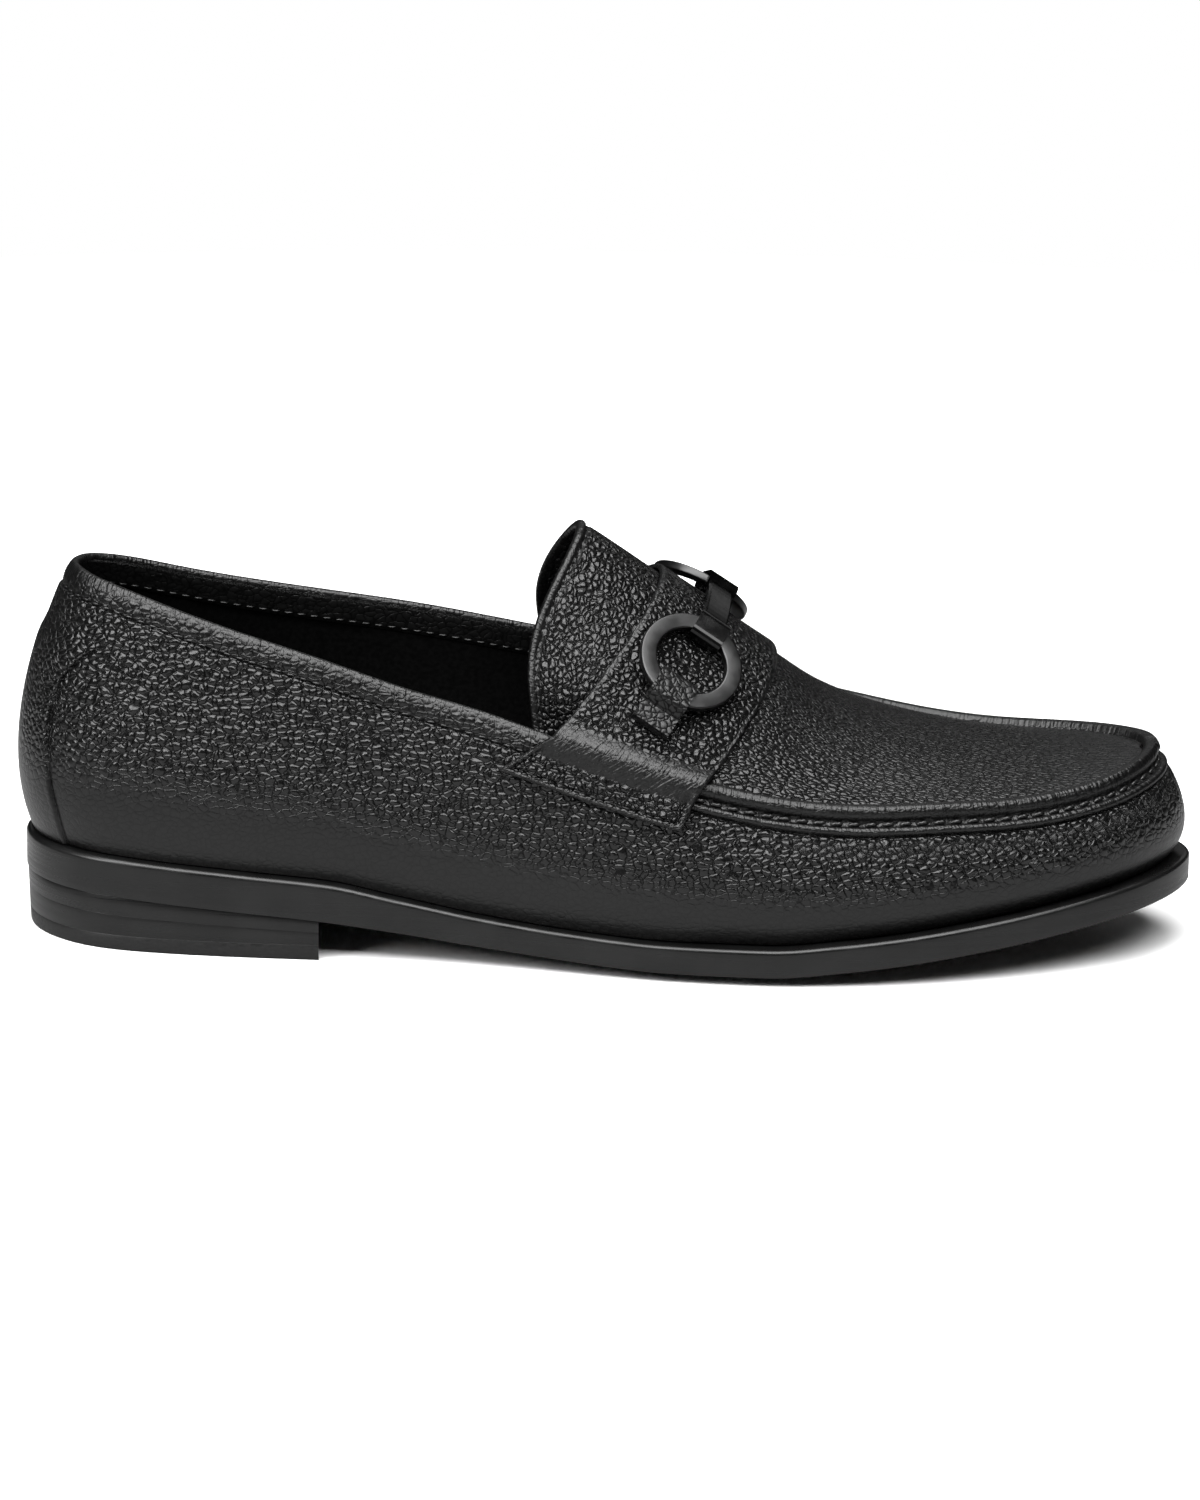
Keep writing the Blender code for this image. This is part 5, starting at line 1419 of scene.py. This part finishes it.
# Leathers: cells per metre in X, Y and Z, depth of the grain, roughness, and depth of the cross wrinkles.
# A leather with wrinkles takes the strength of its grain from its mesh. Without them it's even all over.
LEATHERS = {
    "wall_leather": ((480.0, 480.0, 600.0), 0.56 * MM, 0.22, 0.26 * MM),
    "apron_leather": ((500.0, 980.0, 740.0), 0.33 * MM, 0.26, 0.22 * MM),
    "tongue_leather": ((660.0, 480.0, 560.0), 0.58 * MM, 0.24, 0.20 * MM),
    "strap_leather": ((600.0, 600.0, 600.0), 0.60 * MM, 0.22, 0.28 * MM),
    "keeper_leather": ((640.0, 640.0, 640.0), 0.20 * MM, 0.34, 0.0),
}
LEATHER_TURN = (0.55, 0.35, 0.8)
LEAST_GRAIN = 0.10
PORE_DEPTH = 0.022 * MM
GATHER_DEPTH = 0.55 * MM
CREASE_ROUGHER = 0.26
SMOOTH_ROUGHER = 0.14


def pebbles(tree, cells):
    """The relief of grained leather, rounded cells with creases and a swell over them, and its creases."""
    dome = texture(tree, "Voronoi", cells, feature="F1", in_Scale=1.0, in_Randomness=0.95)
    crease = texture(tree, "Voronoi", cells, feature="DISTANCE_TO_EDGE", in_Scale=1.0, in_Randomness=0.95)
    swell = texture(tree, "Noise", cells, in_Scale=1.4, in_Detail=1.0, in_Roughness=0.5)
    rounded = ramp(tree, dome.outputs["Distance"], (0.0, 1.0), (0.8, 0.0))
    creased = ramp(tree, crease.outputs["Distance"], (0.0, 0.0), (0.10, 0.7), (0.26, 1.0))
    high = math_node(tree, "MULTIPLY", rounded, 0.55)
    low = math_node(tree, "MULTIPLY", creased, 0.55)
    rough = math_node(tree, "MULTIPLY", swell.outputs["Fac"], 0.35)
    return math_node(tree, "ADD", math_node(tree, "ADD", high, low), rough), creased


def cross_wrinkles(tree, depth):
    """Fine wrinkles across rolled edges, from the distance along them."""
    flow = warped(tree, attribute(tree, "flow", "Vector"), 160.0, 0.0014)
    placed = mapped(tree, flow, (950.0, 170.0, 0.0))
    lines = texture(tree, "Noise", placed, in_Scale=1.0, in_Detail=2.0, in_Roughness=0.55)
    strength = math_node(tree, "MULTIPLY", attribute(tree, "smooth", "Fac"), depth * 2.0)
    return math_node(tree, "MULTIPLY", lines.outputs["Fac"], strength)


def upright_gathers(tree):
    """The leather drawn together below the seam: short upright folds of uneven width."""
    flow = attribute(tree, "flow", "Vector")
    placed = mapped(tree, warped(tree, flow, 300.0, 0.0006), (620.0, 210.0, 0.0))
    uneven = {"in_Scale": 1.0, "in_Randomness": 0.9, "in_Smoothness": 0.35}
    folds = texture(tree, "Voronoi", placed, feature="SMOOTH_F1", **uneven)
    parts = node(tree, "SeparateXYZ")
    tree.links.new(flow, parts.inputs[0])
    strength = math_node(tree, "MULTIPLY", parts.outputs["Z"], -GATHER_DEPTH)
    return math_node(tree, "MULTIPLY", folds.outputs["Distance"], strength)


def leather(name):
    """Black grained leather with a waxed finish, and painted shade down in the creases of its grain."""
    scale, depth, roughness, wrinkle = LEATHERS[name]
    made, tree, shader = new_material(name)
    place = node(tree, "TexCoord").outputs["Object"]
    cells = warped(tree, mapped(tree, place, scale, LEATHER_TURN), 0.7, 0.9)
    relief, creased = pebbles(tree, cells)
    share = math_node(tree, "MAXIMUM", attribute(tree, "grain", "Fac"), LEAST_GRAIN) if wrinkle else 1.0
    height = math_node(tree, "MULTIPLY", relief, math_node(tree, "MULTIPLY", share, depth))
    fine = texture(tree, "Noise", place, in_Scale=2400.0, in_Detail=2.0)
    height = math_node(tree, "ADD", height, math_node(tree, "MULTIPLY", fine.outputs["Fac"], PORE_DEPTH))
    if wrinkle:
        height = math_node(tree, "ADD", height, cross_wrinkles(tree, wrinkle))
    if name == "wall_leather":
        height = math_node(tree, "ADD", height, upright_gathers(tree))
    emboss(tree, shader, height)
    bare = math_node(tree, "SUBTRACT", 1.0, share)
    open_unshaded_leather = math_node(tree, "MAXIMUM", creased, bare)
    gloss = ramp(tree, open_unshaded_leather, (0.0, roughness + CREASE_ROUGHER), (0.6, roughness))
    worn = math_node(tree, "MULTIPLY", bare, SMOOTH_ROUGHER)
    tree.links.new(math_node(tree, "ADD", gloss, worn), shader.inputs["Roughness"])
    # Painted shade: the base colour is darker down in the creases of the grain.
    vary(tree, shader, "Base Color", creased, (0.0, 0.001), (1.0, 0.004))
    # Painted shade: the reflection is tinted darker in the creases, where the grain would shade it; open
    # leather and the smooth bands keep it full.
    vary(tree, shader, "Specular Tint", open_unshaded_leather, (0.0, 0.25), (0.7, 1.0))
    shader.inputs["Specular IOR Level"].default_value = 0.42
    return made


def lining_leather():
    """The thin black lining: smooth, dull and finely creased."""
    made, tree, shader = new_material("lining_leather")
    place = node(tree, "TexCoord").outputs["Object"]
    fine = texture(tree, "Noise", place, in_Scale=900.0, in_Detail=3.0).outputs["Fac"]
    emboss(tree, shader, fine, 0.5, 0.06 * MM)
    vary(tree, shader, "Base Color", fine, (0.3, 0.001), (0.7, 0.002))
    vary(tree, shader, "Roughness", fine, (0.3, 0.50), (0.7, 0.62))
    shader.inputs["Specular IOR Level"].default_value = 0.05
    return made


def sole_edge_paint():
    """Burnished black edge dressing with faint brush lines along the sole."""
    made, tree, shader = new_material("sole_edge_paint")
    place = node(tree, "TexCoord").outputs["Object"]
    lines = mapped(tree, place, (28.0, 28.0, 1500.0))
    brush = texture(tree, "Noise", lines, in_Scale=1.0, in_Detail=3.0, in_Roughness=0.6).outputs["Fac"]
    soft = texture(tree, "Noise", place, in_Scale=70.0, in_Detail=2.0).outputs["Fac"]
    emboss(tree, shader, brush, 0.35, 0.05 * MM)
    vary(tree, shader, "Base Color", soft, (0.3, 0.003), (0.7, 0.006))
    vary(tree, shader, "Roughness", brush, (0.3, 0.26), (0.7, 0.38))
    shader.inputs["Specular IOR Level"].default_value = 0.42
    return made


def lift_rubber():
    """The dull rubber of the top lift."""
    made, tree, shader = new_material("lift_rubber")
    place = node(tree, "TexCoord").outputs["Object"]
    fine = texture(tree, "Noise", place, in_Scale=1400.0, in_Detail=2.0).outputs["Fac"]
    emboss(tree, shader, fine, 0.5, 0.05 * MM)
    vary(tree, shader, "Base Color", fine, (0.3, 0.004), (0.7, 0.008))
    vary(tree, shader, "Roughness", fine, (0.3, 0.38), (0.7, 0.52))
    shader.inputs["Specular IOR Level"].default_value = 0.42
    return made


def dark_metal(name, grey, roughness):
    """Black coated metal with faint brushing and small variations of gloss."""
    made, tree, shader = new_material(name)
    place = node(tree, "TexCoord").outputs["Object"]
    cloud = texture(tree, "Noise", place, in_Scale=260.0, in_Detail=3.0).outputs["Fac"]
    brush = texture(tree, "Noise", place, in_Scale=2200.0, in_Detail=2.0).outputs["Fac"]
    emboss(tree, shader, brush, 0.12, 0.02 * MM)
    vary(tree, shader, "Base Color", cloud, (0.3, grey * 0.88), (0.7, grey * 1.1))
    vary(tree, shader, "Roughness", cloud, (0.3, roughness), (0.7, roughness + 0.08))
    shader.inputs["Metallic"].default_value = 1.0
    return made


def thread():
    """Black waxed thread with its twist."""
    made, tree, shader = new_material("thread_wax")
    place = node(tree, "TexCoord").outputs["Object"]
    diagonal = {"in_Scale": 420.0, "in_Distortion": 1.5, "bands_direction": "DIAGONAL"}
    twist = texture(tree, "Wave", place, **diagonal).outputs["Fac"]
    emboss(tree, shader, twist, 0.6, 0.08 * MM)
    vary(tree, shader, "Base Color", twist, (0.2, 0.005), (0.8, 0.012))
    vary(tree, shader, "Roughness", twist, (0.2, 0.28), (0.8, 0.38))
    shader.inputs["Specular IOR Level"].default_value = 0.5
    return made


def dress(piece, slot, *nodes_replaced):
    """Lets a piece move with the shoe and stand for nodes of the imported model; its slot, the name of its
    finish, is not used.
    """
    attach(piece, "root")
    if nodes_replaced:
        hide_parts(*nodes_replaced)


def refinish(node_name, finish, bevel):
    """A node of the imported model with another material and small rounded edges."""
    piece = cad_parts[node_name]
    piece.data.materials.clear()
    piece.data.materials.append(finish)
    rounding = piece.modifiers.new("edges", "BEVEL")
    rounding.width = bevel
    rounding.segments = 3
    rounding.limit_method = "ANGLE"
    rounding.angle_limit = math.radians(28)
    rounding.harden_normals = False


FLOOR_RADIUS = 0.95
FLOOR_SIDES = 96
FLOOR_SEEN = (0.97, 0.97, 0.97, 1.0)
# Soft lights: name, azimuth and elevation in degrees that they come from, distance, width, height, power
LAMPS = (
    ("lamp_key", -4.0, 58.0, 1.30, 1.8, 0.80, 40.0),
    ("lamp_over", 176.0, 88.0, 1.30, 1.2, 0.44, 16.0),
    ("lamp_back", 172.0, 26.0, 1.40, 1.5, 0.34, 0.8),
    ("lamp_heel", -54.0, 26.0, 1.40, 0.50, 0.50, 9.0),
)
# Directions from straight down to straight up, as shares, and the brightness of the surrounding there
SURROUNDING = ((0.0, 0.05), (0.48, 0.04), (0.53, 0.006), (0.70, 0.006), (0.86, 0.03), (1.0, 0.14))
LAMP_AIM = (0.0, 0.0, 0.04)
# Distance from the shoe in metres, and how pale the floor is as the shoe mirrors it: painted shade, darker
# than the floor the camera sees and darker away from the shoe
FLOOR_MIRRORED = ((0.0, 0.36), (0.24, 0.36), (0.46, 0.04), (1.0, 0.02))
# Distance from the shoe in metres, and how much the floor glows to the camera to run into the white
FLOOR_GLOW = ((0.0, 0.0), (0.24, 0.0), (0.50, 1.0), (1.0, 1.0))


def to_camera(tree, mirrored, seen):
    """A colour for what is mirrored and another for what the camera sees. Each may be a socket."""
    mix = node(tree, "Mix", data_type="RGBA")
    tree.links.new(node(tree, "LightPath").outputs["Is Camera Ray"], mix.inputs[0])
    for index, colour in ((6, mirrored), (7, seen)):
        if isinstance(colour, tuple):
            mix.inputs[index].default_value = colour
        else:
            tree.links.new(colour, mix.inputs[index])
    return mix.outputs[2]


def build_floor():
    """A plain pale floor that is seen as white and glows to the camera far out, and that the shoe mirrors near
    by, painted darker than it is seen.
    """
    data = bpy.data.meshes.new("floor")
    turns = np.linspace(0, 2 * math.pi, FLOOR_SIDES + 1)[:-1]
    rim = [(FLOOR_RADIUS * math.cos(a), FLOOR_RADIUS * math.sin(a), 0.0) for a in turns]
    data.from_pydata(rim, [], [tuple(range(FLOOR_SIDES))])
    floor = bpy.data.objects.new("floor", data)
    bpy.context.scene.collection.objects.link(floor)
    made, tree, shader = new_material("floor_white")
    away = node(tree, "VectorMath", operation="LENGTH")
    tree.links.new(node(tree, "TexCoord").outputs["Object"], away.inputs[0])
    # Painted shade: what the shoe mirrors of the floor, and the light the floor throws back, is darker than
    # the floor the camera sees and fades away from the shoe.
    mirrored = ramp(tree, away.outputs["Value"], *FLOOR_MIRRORED)
    tree.links.new(to_camera(tree, mirrored, FLOOR_SEEN), shader.inputs["Base Color"])
    glow = ramp(tree, away.outputs["Value"], *FLOOR_GLOW)
    tree.links.new(to_camera(tree, (0.0, 0.0, 0.0, 1.0), glow), shader.inputs["Emission Color"])
    shader.inputs["Emission Strength"].default_value = 1.0
    shader.inputs["Roughness"].default_value = 0.9
    shader.inputs["Specular IOR Level"].default_value = 0.1
    data.materials.append(made)


def build_world():
    """A studio that is seen as white, dark at the height of the eye, dim above and pale below."""
    world = bpy.data.worlds.new("studio")
    world.use_nodes = True
    tree = world.node_tree
    background = tree.nodes["Background"]
    parts = node(tree, "SeparateXYZ")
    tree.links.new(node(tree, "TexCoord").outputs["Generated"], parts.inputs[0])
    half = math_node(tree, "MULTIPLY_ADD", parts.outputs["Z"], 0.5)
    half.node.inputs[2].default_value = 0.5
    glow = ramp(tree, half, *SURROUNDING)
    tree.links.new(to_camera(tree, glow, (1.0, 1.0, 1.0, 1.0)), background.inputs["Color"])
    bpy.context.scene.world = world


def direction(azimuth, elevation):
    """The direction at an azimuth from the front, and an elevation, both in radians."""
    level = math.cos(elevation)
    return Vector((math.sin(azimuth) * level, -math.cos(azimuth) * level, math.sin(elevation)))


def build_stage():
    """The floor, the surrounding and the soft lights."""
    build_floor()
    build_world()
    for name, azimuth, elevation, distance, width, height, power in LAMPS:
        away = direction(math.radians(azimuth), math.radians(elevation))
        light = bpy.data.lights.new(name, "AREA")
        light.shape = "RECTANGLE"
        light.size = width
        light.size_y = height
        light.energy = power
        lamp = bpy.data.objects.new(name, light)
        lamp.location = Vector(LAMP_AIM) + away * distance
        lamp.rotation_euler = away.to_track_quat("Z", "Y").to_euler()
        bpy.context.scene.collection.objects.link(lamp)
    bpy.context.scene.view_settings.view_transform = "Standard"


# The photograph's view: azimuth, elevation and roll in degrees, distance and focal length
CAMERA_AZIMUTH = 1.5
CAMERA_ELEVATION = 15.5
CAMERA_ROLL = 0.9
CAMERA_DISTANCE = 1.5
CAMERA_LENS = 139.32
CAMERA_TARGET = (-0.00134, -0.00226, 0.0477)


def place_camera():
    """The camera at the photograph's viewing angle."""
    a, e, r = (math.radians(v) for v in (CAMERA_AZIMUTH, CAMERA_ELEVATION, CAMERA_ROLL))
    back = direction(a, e)
    level = Vector((math.cos(a), math.sin(a), 0.0))
    rise = back.cross(level)
    right = level * math.cos(r) + rise * math.sin(r)
    up = rise * math.cos(r) - level * math.sin(r)
    place = Vector(CAMERA_TARGET) + back * CAMERA_DISTANCE
    data = bpy.data.cameras.new("photo_camera")
    data.lens = CAMERA_LENS
    data.sensor_width = 36.0
    data.clip_end = 100.0
    camera = bpy.data.objects.new("photo_camera", data)
    axes = (right, up, back, place)
    camera.matrix_world = Matrix([[axis[i] for axis in axes] for i in range(3)] + [[0.0, 0.0, 0.0, 1.0]])
    bpy.context.scene.collection.objects.link(camera)
    bpy.context.scene.camera = camera


def main():
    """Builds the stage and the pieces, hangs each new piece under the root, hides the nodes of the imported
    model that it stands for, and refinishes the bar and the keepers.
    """
    place_camera()
    build_stage()
    wall, apron = leather("wall_leather"), leather("apron_leather")
    tongue, strap = leather("tongue_leather"), leather("strap_leather")
    lining, paint, rubber = lining_leather(), sole_edge_paint(), lift_rubber()
    ring_metal, bar_metal = dark_metal("ring_metal", 0.050, 0.30), dark_metal("bar_metal", 0.028, 0.20)
    yarn = thread()
    dress(build_upper([wall, apron, lining]), "upper_leather_black", "upper")
    dress(build_tongue(tongue), "upper_leather_black", "tongue")
    dress(build_strap(strap), "upper_leather_black", "saddle_strap")
    dress(build_outsole(paint), "sole_edge_black", "outsole")
    dress(build_heel_stack(paint), "sole_edge_black", "heel_stack")
    dress(build_top_lift(rubber), "lift_rubber_black", "top_lift")
    dress(build_sock(lining), "sock_leather_black", "insole")
    dress(build_ring("ring_outer", "bit_ring_outer", ring_metal), "bit_metal_black", "bit_ring_outer")
    dress(build_ring("ring_inner", "bit_ring_inner", ring_metal), "bit_metal_black", "bit_ring_inner")
    refinish("bit_bar", bar_metal, 0.25 * MM)
    refinish("keeper_outer", leather("keeper_leather"), 0.5 * MM)
    refinish("keeper_inner", leather("keeper_leather"), 0.5 * MM)
    dress(build_seam_stitches(yarn), "upper_leather_black")
    dress(build_collar_stitches(yarn), "upper_leather_black")
    dress(build_tab_stitches(yarn), "upper_leather_black")
    dress(build_tongue_stitches(yarn), "upper_leather_black")


main()
bpy.context.view_layer.update()
